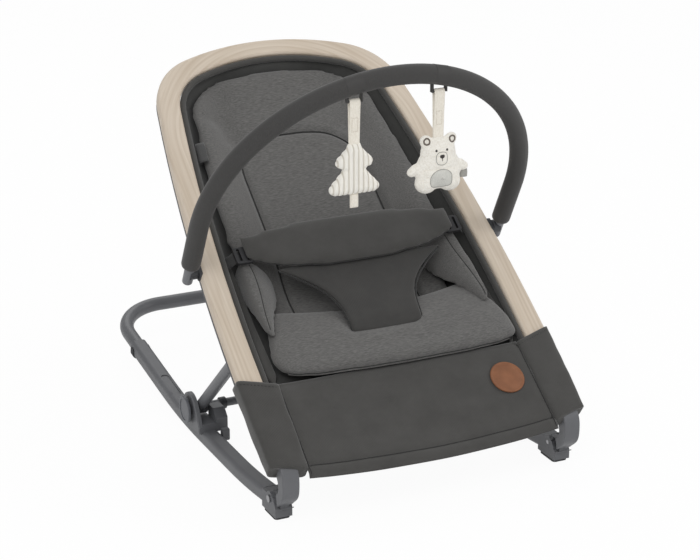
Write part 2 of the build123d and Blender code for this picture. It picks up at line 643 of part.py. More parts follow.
def left_webbing():
    """Webbing from under the buckle to the edge of the sling."""
    top = BUCKLE_LEVEL - SEAT_FIT
    upper = [(-WEBBING_START, top), (-WEBBING_BEND, top), (-WEBBING_END, WEBBING_FOOT)]
    lower = [(x, level - WEBBING_THICK) for x, level in reversed(upper)]
    face = seat_section(BUCKLE_S) * make_face(Polyline(*upper, *lower, close=True))
    return extrude(face, WEBBING_WIDTH / 2, both=True)


def badge():
    """Bare round leather patch on the front panel."""
    disc = extrude(Circle(BADGE_RADIUS), BADGE_THICK)
    disc = fillet(disc.edges().group_by(Axis.Z)[-1], 1.0)
    return SEAT * (Pos(BADGE_X, BADGE_S, SEAT_FIT) * disc)


def side_tag():
    """Bare cloth tag at the edge of the sling."""
    tag = extrude(RectangleRounded(TAG_WIDTH, TAG_LENGTH, 1.5), TAG_THICK)
    return SEAT * (Pos(-TAG_X, TAG_S, RIM_TOP - 4) * tag)


def left_leg():
    """Folding leg: a round tube with an eye at the seat and a sleeve on the crossbar."""
    middle = Location((-SIDE_X, (LEG_Y + BAR_Y) / 2, (LEG_Z + BAR_Z) / 2), (90 - LEG_LEAN, 0, 0))
    run = LEG_LENGTH - 8
    leg = middle * (Cylinder(LEG_RADIUS, run) - Cylinder(LEG_RADIUS - LEG_WALL, run + 1))
    leg += rod(-SIDE_X - EYE_HALF, -SIDE_X + EYE_HALF, LEG_Y, LEG_Z, EYE_RADIUS)
    leg += rod(-SIDE_X - EYE_HALF, -SIDE_X + EYE_HALF, BAR_Y, BAR_Z, EYE_RADIUS + 1)
    leg -= rod(-SIDE_X - 20, -SIDE_X + 20, LEG_Y, LEG_Z, PIN_RADIUS + FIT)
    return leg - rod(-SIDE_X - 20, -SIDE_X + 20, BAR_Y, BAR_Z, CROSSBAR_RADIUS + SEAT_FIT / 2)


def leg_pivot_pins():
    """Pins held in the lugs of the frame's back, through the leg eyes."""
    half = POCKET_HALF + LUG_THICK
    pin = rod(-SIDE_X - half, -SIDE_X + half, LEG_Y, LEG_Z, PIN_RADIUS)
    return Compound(children=[pin, mirrored(pin)])


def crossbar():
    """Tube that joins the two legs and lies against the stop boxes."""
    end = SIDE_X + LEG_RADIUS
    tube = rod(-end, end, BAR_Y, BAR_Z, CROSSBAR_RADIUS)
    return tube - rod(-end - 1, end + 1, BAR_Y, BAR_Z, CROSSBAR_RADIUS - CROSSBAR_WALL)


def left_collar():
    """Collar on the crossbar beside the hinge housing."""
    x0 = -BOX_INNER + FIT + 1
    collar = rod(x0, x0 + COLLAR_LENGTH, BAR_Y, BAR_Z, COLLAR_RADIUS)
    collar = fillet(collar.edges(), 1.2)
    collar -= rod(x0 - 1, x0 + COLLAR_LENGTH + 1, BAR_Y, BAR_Z, CROSSBAR_RADIUS + SEAT_FIT / 2)
    return collar


def arch_path(drop: float):
    """Middle line of the toy bar, from the left end over the crown to the right end."""
    left = Line((-ARCH_HALF, -drop), (-ARCH_HALF, ARCH_LEG))
    crown = ThreePointArc((-ARCH_HALF, ARCH_LEG), (0, ARCH_LEG + ARCH_HALF), (ARCH_HALF, ARCH_LEG))
    right = Line((ARCH_HALF, ARCH_LEG), (ARCH_HALF, -drop))
    return ARCH * (Wire([left, crown, right]))


def arch_tube(drop: float, outer: float, inner: float):
    """A round tube along the toy bar's line."""
    path = arch_path(drop)
    mouth = Plane(origin=path @ 0, z_dir=path % 0)
    return sweep(mouth * (Circle(outer) - Circle(inner)), path=path)


def left_bar_hub():
    """Saddle fixed to the inner side of the bar's tail, turning on the mount's stud."""
    hub = rod(-ARCH_HALF, -HUB_INNER, BAR_PIVOT_Y, BAR_PIVOT_Z, HUB_RADIUS)
    hub = fillet(hub.edges().group_by(Axis.X)[-1], 1.2)
    tail = Cylinder(BAR_RADIUS + SEAT_FIT / 2, 2 * BAR_TAIL)
    tail = ARCH * (Pos(-ARCH_HALF, -BAR_PIVOT_DROP) * Rot(90, 0, 0) * tail)
    socket = rod(-HUB_INNER - STUD_REACH - FIT, -HUB_INNER + 1, BAR_PIVOT_Y, BAR_PIVOT_Z, STUD_RADIUS + FIT)
    return hub - tail - socket


def left_bar_mount():
    """Mount on the frame's outer edge, with the stud that the toy bar turns on."""
    spot = Pos(0, BAR_PIVOT_Y, BAR_PIVOT_Z) * Rot(SEAT_SLOPE, 0, 0)
    block = spot * Pos(-MOUNT_OUTER + 5, 0, 0) * Box(10, MOUNT_SIZE, 15)
    block = fillet(block.edges().filter_by(Axis.X), 5.0)
    block -= WOOD
    block -= BACK
    stud = rod(-HUB_INNER - STUD_REACH, -MOUNT_OUTER + 0.5, BAR_PIVOT_Y, BAR_PIVOT_Z, STUD_RADIUS)
    return block.solids().sort_by(Axis.X)[0] + stud


def left_bar_plug():
    """Rounded plug in the open tail of the bar."""
    plug = Pos(0, 0, -PLUG_LENGTH / 2) * Cylinder(BAR_RADIUS - BAR_WALL - SEAT_FIT / 2, PLUG_LENGTH)
    cap = Pos(0, 0, PLUG_CAP / 2) * Cylinder(BAR_RADIUS, PLUG_CAP)
    plug += fillet(cap.edges().group_by(Axis.Z)[-1], PLUG_CAP - 1)
    return ARCH * (Pos(-ARCH_HALF, -BAR_TAIL) * Rot(90, 0, 0) * plug)


def left_loop():
    """Band round the foam with the small rod a toy hangs from."""
    tilt = TOY_X / ARCH_HALF
    spot = Location((-TOY_X, TOY_Y, TOY_BAR_Z))
    ring = Cylinder(FOAM_RADIUS + FIT + BAND_WALL, BAND_WIDTH) - Cylinder(FOAM_RADIUS + FIT, BAND_WIDTH + 2)
    along = Vector(sqrt(1 - tilt ** 2), tilt * ARCH_DIR[1], tilt * ARCH_DIR[2])
    band = Plane(origin=spot.position, z_dir=along) * ring
    half = STRAP_WIDTH / 2 + 0.8
    ear_top = LOOP_DROP - FOAM_RADIUS - FIT
    for side in (-1, 1):
        ear = Box(2.2, 7, ear_top + 2.4)
        band += Pos(-TOY_X + side * (half + 1.1), TOY_Y, TOY_Z + ear_top / 2 - 0.4) * ear
    band += rod(-TOY_X - half - 1, -TOY_X + half + 1, TOY_Y, TOY_Z, ROD_RADIUS)
    return band - Plane(origin=spot.position, z_dir=along) * Cylinder(FOAM_RADIUS + FIT, 60)


def strap(x: float, length: float):
    """Toy strap: an eye on the hanging rod and a flat band below it."""
    half = STRAP_WIDTH / 2
    band = rod(x - half, x + half, TOY_Y, TOY_Z, EYE_OUTER)
    band += Pos(x, TOY_Y, TOY_Z - length / 2) * Box(STRAP_WIDTH, STRAP_THICK, length)
    return band - rod(x - half - 1, x + half + 1, TOY_Y, TOY_Z, EYE_BORE)


def tree_body():
    """Stuffed tree in two tiers."""
    half = TREE_WIDTH / 2
    right = [(5, 0), (0.76 * half, -0.40 * TREE_HEIGHT), (0.50 * half, -0.46 * TREE_HEIGHT),
             (half, -0.92 * TREE_HEIGHT), (0.86 * half, -TREE_HEIGHT)]
    left = [(-x, z) for x, z in reversed(right)]
    outline = make_face(Polyline(*right, *left, close=True))
    outline = fillet(outline.vertices(), 1.6)
    body = extrude(outline, TREE_THICK / 2, both=True)
    body = fillet(body.edges().filter_by(Plane.XY), 1.4)
    top = TOY_Z - TREE_STRAP - SEAT_FIT
    return Location((-TOY_X, TOY_Y, top), (90, 0, 0)) * body


def tree_trunk():
    """Stuffed trunk below the tree."""
    top = TOY_Z - TREE_STRAP - TREE_HEIGHT - 2 * SEAT_FIT
    trunk = Box(TRUNK_WIDTH, TRUNK_WIDTH - 2, TRUNK_LENGTH)
    trunk = fillet(trunk.edges(), 2.5)
    return Pos(-TOY_X, TOY_Y, top - TRUNK_LENGTH / 2) * trunk


def blob(x: float, y: float, z: float, a: float, b: float, c: float):
    """A stuffed ellipsoid with half-axes a, b, c."""
    return Pos(x, y, z) * scale(Sphere(1), by=(a, b, c))


BEAR_TOP = TOY_Z - BEAR_STRAP - SEAT_FIT


def bear_body():
    """Stuffed animal: head, round body, ears and short arms."""
    half, deep = BEAR_WIDTH / 2, BEAR_THICK / 2
    body = blob(TOY_X, TOY_Y, BEAR_TOP - 0.27 * BEAR_HEIGHT, 0.73 * half, deep, 0.27 * BEAR_HEIGHT)
    body += blob(TOY_X, TOY_Y, BEAR_TOP - BELLY_DROP * BEAR_HEIGHT, half, deep + 1, 0.35 * BEAR_HEIGHT)
    ear_level = BEAR_TOP - 0.06 * BEAR_HEIGHT
    arm_level = BEAR_TOP - 0.56 * BEAR_HEIGHT
    for side in (-1, 1):
        body += blob(TOY_X + side * 0.54 * half, TOY_Y, ear_level, EAR_RADIUS, 5, EAR_RADIUS)
        body += blob(TOY_X + side * 1.05 * half, TOY_Y, arm_level, ARM_LENGTH, 7, ARM_LENGTH - 2)
    return body


def bear_muzzle():
    """Muzzle pad on the animal's face."""
    face = TOY_Y - BEAR_THICK / 2
    muzzle = blob(TOY_X, face + 1, BEAR_TOP - 0.33 * BEAR_HEIGHT, MUZZLE_WIDTH / 2, 5, MUZZLE_WIDTH / 2 - 1)
    return (muzzle - BEAR).solids().sort_by(Axis.Y)[0]


def bear_patch():
    """Oval belly patch that follows the animal's body."""
    middle = BEAR_TOP - BELLY_DROP * BEAR_HEIGHT
    grow = PATCH_THICK
    deep = BEAR_THICK / 2 + 1 + grow
    skin = blob(TOY_X, TOY_Y, middle, BEAR_WIDTH / 2 + grow, deep, 0.35 * BEAR_HEIGHT + grow)
    oval = extrude(Plane.XZ * Ellipse(PATCH_WIDTH / 2, PATCH_HEIGHT / 2), BEAR_THICK)
    return ((skin & Pos(TOY_X, TOY_Y, middle) * oval) - BEAR).solids().sort_by(Axis.Y)[0]


WOOD = wood_frame()
BACK = frame_back()
BEAR = bear_body()
LEFT_PIN = left_pivot_pin()
LEFT_PLUG = left_bar_plug()

nodes = {
    "rear_base_tube": REAR_TUBE,
    "wood_frame": WOOD,
    "frame_back": BACK,
    "sling_rim": sling_rim(),
    "seat_sling": seat_sling(),
    "backrest_pad": backrest_pad(),
    "seat_pad": cushion(SEAT_PAD, 6.0),
    "front_panel": front_panel(),
    "waist_belt": waist_belt(),
    "crotch_flap": crotch_flap(),
    "leather_badge": badge(),
    "side_tag": side_tag(),
    "crossbar": crossbar(),
    "leg_pivot_pins": leg_pivot_pins(),
    "front_pivot_pins": Compound(children=[LEFT_PIN, mirrored(LEFT_PIN)]),
    "rail_screws": rail_screws(),
    "bar_plugs": Compound(children=[LEFT_PLUG, mirrored(LEFT_PLUG)]),
    "bar_tube": arch_tube(BAR_TAIL, BAR_RADIUS, BAR_RADIUS - BAR_WALL),
    "foam_sleeve": arch_tube(0, FOAM_RADIUS, BAR_RADIUS + SEAT_FIT),
    "tree_strap": strap(-TOY_X, TREE_STRAP),
    "tree_body": tree_body(),
    "tree_trunk": tree_trunk(),
    "bear_strap": strap(TOY_X, BEAR_STRAP),
    "bear_body": BEAR,
    "bear_muzzle": bear_muzzle(),
    "bear_patch": bear_patch(),
}
pairs = {
    "rocker_rail": LEFT_RAIL,
    "front_foot": left_foot(),
    "foot_pad": left_foot_pad(),
    "hinge_housing": left_housing(),
    "rear_pad": left_rear_pad(),
    "release_button": left_button(),
    "rocking_stop": left_stop(),
    "front_bracket": left_bracket(),
    "frame_sleeve": left_sleeve(),
    "hip_bolster": left_bolster(),
    "belt_buckle": left_buckle(),
    "belt_webbing": left_webbing(),
    "bar_mount": left_bar_mount(),
    "leg_tube": left_leg(),
    "leg_collar": left_collar(),
    "bar_hub": left_bar_hub(),
    "toy_loop": left_loop(),
}
for name, shape in pairs.items():
    nodes["left_" + name] = shape
    nodes["right_" + name] = mirrored(shape)

os.makedirs("parts", exist_ok=True)
for name, shape in nodes.items():
    export_step(shape, f"parts/{name}.step")
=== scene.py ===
"""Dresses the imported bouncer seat: sling, padding, foam, toys, finishes, floor, lamps and camera."""
import logging
from dataclasses import dataclass, field
from enum import Enum
from functools import lru_cache
from math import copysign, cos, exp, pi, radians, sin, sqrt
from typing import Callable, Iterable, Sequence

import bpy
from mathutils import Euler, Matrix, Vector, noise
from mathutils.bvhtree import BVHTree
from mathutils.kdtree import KDTree


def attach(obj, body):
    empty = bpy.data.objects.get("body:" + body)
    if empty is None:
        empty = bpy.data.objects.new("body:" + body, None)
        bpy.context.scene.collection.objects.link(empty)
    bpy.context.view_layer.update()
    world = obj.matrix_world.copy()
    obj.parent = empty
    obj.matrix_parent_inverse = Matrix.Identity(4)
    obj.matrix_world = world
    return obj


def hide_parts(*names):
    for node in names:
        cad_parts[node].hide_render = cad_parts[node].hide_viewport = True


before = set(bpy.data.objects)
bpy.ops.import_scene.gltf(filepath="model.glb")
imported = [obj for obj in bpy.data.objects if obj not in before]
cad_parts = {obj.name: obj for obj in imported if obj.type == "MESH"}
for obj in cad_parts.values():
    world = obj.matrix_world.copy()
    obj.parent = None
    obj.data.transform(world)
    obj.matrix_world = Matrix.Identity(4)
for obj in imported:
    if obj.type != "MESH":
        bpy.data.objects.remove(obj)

LOG = logging.getLogger("bouncer")
MM = 0.001
Colour = tuple[float, float, float, float]
Pair = tuple[float, float]
Pairs = tuple[Pair, ...]
Field1 = Callable[[float], float]
Field2 = Callable[[float, float], float]
SIDES = (("left", -1), ("right", 1))


class Body(str, Enum):
    """CAD bodies that a piece may ride on."""

    SEAT = "seat"
    TOY_BAR = "toy_bar"
    TREE = "tree_toy"
    BEAR = "bear_toy"


class Weave(Enum):
    """Surface structure of a cloth."""

    TWILL = "twill"
    HEATHER = "heather"
    PLAIN = "plain"
    PLUSH = "plush"


def paint(red: int, green: int, blue: int) -> Colour:
    """Linear colour of a screen colour.

    Args:
        red, green, blue: levels from 0 to 255.

    Returns:
        The colour as Blender's sockets take it.
    """
    levels = [level / 255 for level in (red, green, blue)]
    linear = [c / 12.92 if c <= 0.04045 else ((c + 0.055) / 1.055) ** 2.4 for c in levels]
    return (*linear, 1.0)


def clamp(value: float, low: float = 0.0, high: float = 1.0) -> float:
    """Value held between low and high."""
    return max(low, min(high, value))


def mix(a: float, b: float, share: float) -> float:
    """Value this share of the way from a to b."""
    return a + (b - a) * share


def ease(share: float) -> float:
    """Smooth step from 0 to 1."""
    share = clamp(share)
    return share * share * (3 - 2 * share)


def squared(angle: float, powers: Pair) -> Pair:
    """Point of a unit round at an angle; powers below 1 make it squarer.

    Args:
        angle: angle from the first axis.
        powers: power along each axis.

    Returns:
        The point.
    """
    c, k = cos(angle), sin(angle)
    return copysign(abs(c) ** powers[0], c), copysign(abs(k) ** powers[1], k)


def path_length(path: Sequence[Vector]) -> float:
    """Length of a line through points, in metres."""
    return sum((b - a).length for a, b in zip(path, path[1:]))


def fold_length(fold: Pairs) -> float:
    """Length of a folded cloth's section in metres, from points in millimetres."""
    return sum(sqrt((x1 - x0) ** 2 + (y1 - y0) ** 2) for (x0, y0), (x1, y1) in zip(fold, fold[1:])) * MM


def through(points: Sequence[Pair]) -> Field1:
    """A smooth curve through points, level beyond its ends.

    Args:
        points: place and value pairs, in rising order of place.

    Returns:
        A function of the place.
    """
    def value(place: float) -> float:
        """Value of the curve at a place."""
        if place <= points[0][0]:
            return points[0][1]
        for i in range(len(points) - 1):
            (x0, y0), (x1, y1) = points[i], points[i + 1]
            if place <= x1:
                before = points[i - 1] if i else points[0]
                after = points[i + 2] if i + 2 < len(points) else points[-1]
                m0 = (y1 - before[1]) / (x1 - before[0])
                m1 = (after[1] - y0) / (after[0] - x0)
                t = (place - x0) / (x1 - x0)
                run = x1 - x0
                return ((2 * t ** 3 - 3 * t * t + 1) * y0 + (t ** 3 - 2 * t * t + t) * run * m0
                        + (3 * t * t - 2 * t ** 3) * y1 + (t ** 3 - t * t) * run * m1)
        return points[-1][1]
    return value


@dataclass(frozen=True)
class SeatPlane:
    """Front face of the wooden frame: x across, s up the slope, n out of it, in millimetres."""

    slope: float = 36.0
    ref_y: float = -247.2
    ref_z: float = 163.5

    def point(self, x: float, s: float, n: float) -> Vector:
        """Place in the shared frame, in metres.

        Args:
            x, s, n: across, up the slope and out of the front face, in millimetres.

        Returns:
            The point.
        """
        c, k = cos(radians(self.slope)), sin(radians(self.slope))
        return Vector((x, self.ref_y + s * c - n * k, self.ref_z + s * k + n * c)) * MM

    @property
    def along(self) -> Vector:
        """Direction up the slope."""
        return Vector((0, cos(radians(self.slope)), sin(radians(self.slope))))

    @property
    def out(self) -> Vector:
        """Direction out of the front face."""
        return Vector((0, -sin(radians(self.slope)), cos(radians(self.slope))))


SEAT = SeatPlane()


@dataclass(frozen=True)
class Horseshoe:
    """Inner edge of the wooden frame as three tangent arcs on each side, (s, x) from the crown down."""

    marks: Pairs = ((570.0, 0.0), (549.0, 115.0), (484.4, 167.6), (-123.0, 202.0))
    steps: int = 24

    @lru_cache(maxsize=None)
    def right(self, inset: float) -> Pairs:
        """Right half of the edge, moved inwards.

        Args:
            inset: distance inside the wood's edge.

        Returns:
            (x, s) points from the crown down.
        """
        points, heading = [], Vector((1.0, 0.0))
        for (s0, x0), (s1, x1) in zip(self.marks, self.marks[1:]):
            start, chord = Vector((x0, s0)), Vector((x1 - x0, s1 - s0))
            side = Vector((heading.y, -heading.x))
            radius = chord.length_squared / (2 * side.dot(chord))
            centre = start + side * radius
            turn = 2 * heading.angle(chord)
            for i in range(1 if points else 0, self.steps + 1):
                angle = -turn * i / self.steps
                arm = start - centre
                arm = Vector((arm.x * cos(angle) - arm.y * sin(angle), arm.x * sin(angle) + arm.y * cos(angle)))
                spot = centre + arm * (1 - inset / radius)
                points.append((spot.x, spot.y))
            heading = Vector((heading.x * cos(-turn) - heading.y * sin(-turn),
                              heading.x * sin(-turn) + heading.y * cos(-turn)))
        return tuple(points)

    def path(self, inset: float, foot: float) -> list[Pair]:
        """The edge from the left foot over the crown to the right foot.

        Args:
            inset: distance inside the wood's edge.
            foot: lowest s of the path.

        Returns:
            (x, s) points.
        """
        right = [p for p in self.right(inset) if p[1] > foot]
        right.append((self.half(foot, inset), foot))
        return [(-x, s) for x, s in reversed(right[1:])] + right

    def half(self, s: float, inset: float) -> float:
        """Half-width of the opening at s, inside the inset edge."""
        points = self.right(inset)
        for (x0, s0), (x1, s1) in zip(points, points[1:]):
            if s1 <= s <= s0 and s0 > s1:
                return mix(x1, x0, (s - s1) / (s0 - s1))
        return 0.0 if s > points[0][1] else points[-1][0]


EDGE = Horseshoe()


class Nodes:
    """A material's node tree, with short calls to add and join nodes."""

    def __init__(self, name: str) -> None:
        """Starts a material with only a shader and its output."""
        self.material = bpy.data.materials.new(name)
        self.material.use_nodes = True
        self.tree = self.material.node_tree
        self.shader = self.tree.nodes["Principled BSDF"]

    def add(self, kind: str, settings: dict[str, object] | None = None, **sockets: object) -> bpy.types.Node:
        """Adds a node.

        Args:
            kind: node type without its prefix.
            settings: properties of the node.
            sockets: values or outputs for its inputs, by name, with _ for a space.

        Returns:
            The node.
        """
        made = self.tree.nodes.new("ShaderNode" + kind)
        for key, value in (settings or {}).items():
            setattr(made, key, value)
        for key, value in sockets.items():
            self.feed(made, key.replace("_", " "), value)
        return made

    def feed(self, made: bpy.types.Node, socket: str, value: object) -> None:
        """Links an output to a node's input, or sets the input's value."""
        target = made.inputs[int(socket)] if socket.isdigit() else made.inputs[socket]
        if isinstance(value, bpy.types.NodeSocket):
            self.tree.links.new(value, target)
        else:
            target.default_value = value

    def calc(self, operation: str, first: object, second: object = 0.0) -> bpy.types.NodeSocket:
        """Result of a sum on outputs or plain values."""
        made = self.add("Math", {"operation": operation})
        self.feed(made, "0", first)
        self.feed(made, "1", second)
        return made.outputs[0]

    def place(self, scale: Sequence[float] = (1, 1, 1), turn: Sequence[float] = (0, 0, 0)) -> bpy.types.NodeSocket:
        """Object coordinates, turned and scaled.

        Args:
            scale: scale along each turned axis.
            turn: angles in degrees.

        Returns:
            The vector output.
        """
        coords = self.add("TexCoord").outputs["Object"]
        turned = self.add("Mapping", Vector=coords, Rotation=[radians(a) for a in turn])
        return self.add("Mapping", Vector=turned.outputs[0], Scale=list(scale)).outputs[0]

    def ramp(self, factor: bpy.types.NodeSocket, stops: Sequence[tuple[float, Colour]]) -> bpy.types.NodeSocket:
        """Colour ramp over a factor.

        Args:
            factor: the driving output.
            stops: place and colour pairs.

        Returns:
            The colour output.
        """
        made = self.add("ValToRGB", Fac=factor)
        ramp = made.color_ramp
        for place, _ in stops[2:]:
            ramp.elements.new(place)
        for element, (place, colour) in zip(ramp.elements, stops):
            element.position = place
            element.color = colour
        return made.outputs["Color"]

    def finish(self, colour: bpy.types.NodeSocket | Colour, height: bpy.types.NodeSocket | None = None,
               bump: float = 0.2, depth: float = 0.001, **shader: object) -> bpy.types.Material:
        """Feeds the shader.

        Args:
            colour: base colour.
            height: height field for the bump.
            bump: strength of the bump.
            depth: depth of the bump in metres.
            shader: plain values for the shader's sockets.

        Returns:
            The material.
        """
        self.feed(self.shader, "Base Color", colour)
        if height is not None:
            made = self.add("Bump", Height=height, Strength=bump, Distance=depth)
            self.feed(self.shader, "Normal", made.outputs[0])
        for key, value in shader.items():
            self.feed(self.shader, key.replace("_", " "), value)
        return self.material


@dataclass(frozen=True)
class ClothFinish:
    """A cloth with its weave, colour spread and sheen."""

    name: str
    dark: Colour
    light: Colour
    weave: Weave
    roughness: float = 0.9
    sheen: float = 0.25

    def material(self) -> bpy.types.Material:
        """Builds the cloth's material."""
        kit = Nodes(self.name)
        slope = (-SEAT.slope, 0, 0)
        if self.weave is Weave.HEATHER:
            streak = kit.add("TexNoise", Vector=kit.place((150, 1350, 1350), slope), Scale=1.0, Detail=2.0)
            colour = kit.ramp(streak.outputs[0], ((0.34, self.dark), (0.66, self.light)))
            height = kit.add("TexNoise", Vector=kit.place((500, 1600, 1600), slope), Scale=1.0, Detail=2.0).outputs[0]
            return kit.finish(colour, height, bump=0.35, depth=0.0006, Roughness=self.roughness,
                              Sheen_Weight=self.sheen)
        if self.weave is Weave.TWILL:
            cloud = kit.add("TexNoise", Vector=kit.place((26, 26, 26)), Scale=1.0, Detail=6.0, Roughness=0.7)
            colour = kit.ramp(cloud.outputs[0], ((0.3, self.dark), (0.7, self.light)))
            rib = kit.add("TexWave", {"bands_direction": "DIAGONAL"}, Vector=kit.place((1, 1, 1), slope), Scale=210.0,
                          Distortion=1.5, Detail=1.0)
            return kit.finish(colour, rib.outputs["Fac"], bump=0.25, depth=0.0005, Roughness=self.roughness,
                              Sheen_Weight=self.sheen)
        if self.weave is Weave.PLUSH:
            cloud = kit.add("TexNoise", Vector=kit.place((1, 1, 1)), Scale=420.0, Detail=5.0)
            colour = kit.ramp(cloud.outputs[0], ((0.3, self.dark), (0.62, self.light)))
            return kit.finish(colour, cloud.outputs[0], bump=0.6, depth=0.0016, Roughness=self.roughness,
                              Sheen_Weight=self.sheen)
        cloud = kit.add("TexNoise", Vector=kit.place((900, 900, 300)), Scale=1.0, Detail=3.0)
        colour = kit.ramp(cloud.outputs[0], ((0.3, self.dark), (0.7, self.light)))
        return kit.finish(colour, cloud.outputs[0], bump=0.3, depth=0.0005, Roughness=self.roughness,
                          Sheen_Weight=self.sheen)


@dataclass(frozen=True)
class RibbedFinish:
    """Ribbed plush, with painted shade that darkens the grooves between its upright ribs."""

    name: str
    # groove is a painted shade colour for the grooves, rib the plush's own colour.
    groove: Colour
    rib: Colour
    pitch: float
    middle: float

    def material(self) -> bpy.types.Material:
        """Builds the ribbed cloth, with a rib on its middle line."""
        kit = Nodes(self.name)
        turn = pi - 2 * pi * self.middle / self.pitch
        bands = kit.add("TexWave", {"bands_direction": "X"}, Vector=kit.place(), Scale=pi / (10 * self.pitch),
                        Phase_Offset=turn)
        # Painted shade: a narrow dark band in each groove.
        colour = kit.ramp(bands.outputs["Fac"], ((0.02, self.groove), (0.3, self.rib)))
        nap = kit.add("TexNoise", Vector=kit.place(), Scale=700.0, Detail=4.0)
        return kit.finish(colour, nap.outputs[0], bump=0.3, depth=0.0008, Roughness=0.95, Sheen_Weight=0.2)


@dataclass(frozen=True)
class WoodFinish:
    """Pale bent wood, with its grain along the frame."""

    name: str
    pale: Colour
    middle: Colour
    deep: Colour
    roughness: float = 0.55
    bend: float = 0.296
    fine: tuple[float, float, float] = (260.0, 5.0, 90.0)
    broad: tuple[float, float, float] = (46.0, 4.0, 40.0)
    lines: tuple[float, float, float] = (1.0, 0.07, 1.0)
    broad_share: float = 0.4
    line_share: float = 0.1

    def material(self) -> bpy.types.Material:
        """Builds the wood: rings follow the arms and turn round the crown."""
        kit = Nodes(self.name)
        parts = kit.add("SeparateXYZ", Vector=kit.place((1, 1, 1), (-SEAT.slope, 0, 0))).outputs
        across, slope, deep = parts["X"], parts["Y"], parts["Z"]
        beyond = kit.calc("MAXIMUM", kit.calc("SUBTRACT", slope, self.bend), 0.0)
        ring = kit.calc("SQRT", kit.calc("ADD", kit.calc("POWER", kit.calc("ABSOLUTE", across), 2.0),
                                         kit.calc("POWER", beyond, 2.0)))
        along = kit.calc("SUBTRACT", slope, kit.calc("ABSOLUTE", across))

        def grain(scale: Sequence[float]) -> bpy.types.NodeSocket:
            """Place in the wood, scaled across its rings, along it and into it."""
            parts = [kit.calc("MULTIPLY", part, size) for part, size in zip((ring, along, deep), scale)]
            return kit.add("CombineXYZ", X=parts[0], Y=parts[1], Z=parts[2]).outputs[0]

        fine = kit.add("TexNoise", Vector=grain(self.fine), Scale=1.0, Detail=4.0, Roughness=0.6)
        figure = kit.add("TexNoise", Vector=grain(self.broad), Scale=1.0, Detail=2.0, Distortion=0.8)
        lines = kit.add("TexWave", {"bands_direction": "X"}, Vector=grain(self.lines), Scale=24.0, Distortion=16.0,
                        Detail=3.0)
        plain = kit.add("Mix", None, Factor=self.broad_share, A=fine.outputs[0], B=figure.outputs[0]).outputs[0]
        factor = kit.add("Mix", None, Factor=self.line_share, A=plain, B=lines.outputs["Fac"]).outputs[0]
        colour = kit.ramp(factor, ((0.3, self.deep), (0.7, self.pale), (0.5, self.middle)))
        return kit.finish(colour, fine.outputs[0], bump=0.1, depth=0.0005, Roughness=self.roughness,
                          Specular_IOR_Level=0.35)


@dataclass(frozen=True)
class MouldedFinish:
    """Moulded plastic, rubber or coated metal with a fine grain and slightly worn tone."""

    name: str
    tone: Colour
    roughness: float = 0.5
    grain: float = 900.0
    bump: float = 0.08
    metallic: float = 0.0

    def material(self) -> bpy.types.Material:
        """Builds the finish."""
        kit = Nodes(self.name)
        wear = kit.add("TexNoise", Vector=kit.place((14, 14, 14)), Scale=1.0, Detail=4.0)
        low = tuple(c * 0.9 for c in self.tone[:3]) + (1.0,)
        high = tuple(min(c * 1.1, 1.0) for c in self.tone[:3]) + (1.0,)
        colour = kit.ramp(wear.outputs[0], ((0.3, low), (0.7, high)))
        skin = kit.add("TexNoise", Vector=kit.place((1, 1, 1)), Scale=self.grain, Detail=2.0)
        return kit.finish(colour, skin.outputs[0], bump=self.bump, depth=0.0004, Roughness=self.roughness,
                          Metallic=self.metallic)


@dataclass(frozen=True)
class LeatherFinish:
    """Brown leather with pores."""

    name: str
    dark: Colour
    light: Colour

    def material(self) -> bpy.types.Material:
        """Builds the leather."""
        kit = Nodes(self.name)
        cloud = kit.add("TexNoise", Vector=kit.place((60, 60, 60)), Scale=1.0, Detail=5.0)
        colour = kit.ramp(cloud.outputs[0], ((0.3, self.dark), (0.7, self.light)))
        pores = kit.add("TexVoronoi", Vector=kit.place((1, 1, 1)), Scale=900.0)
        return kit.finish(colour, pores.outputs["Distance"], bump=0.25, depth=0.0005, Roughness=0.6)


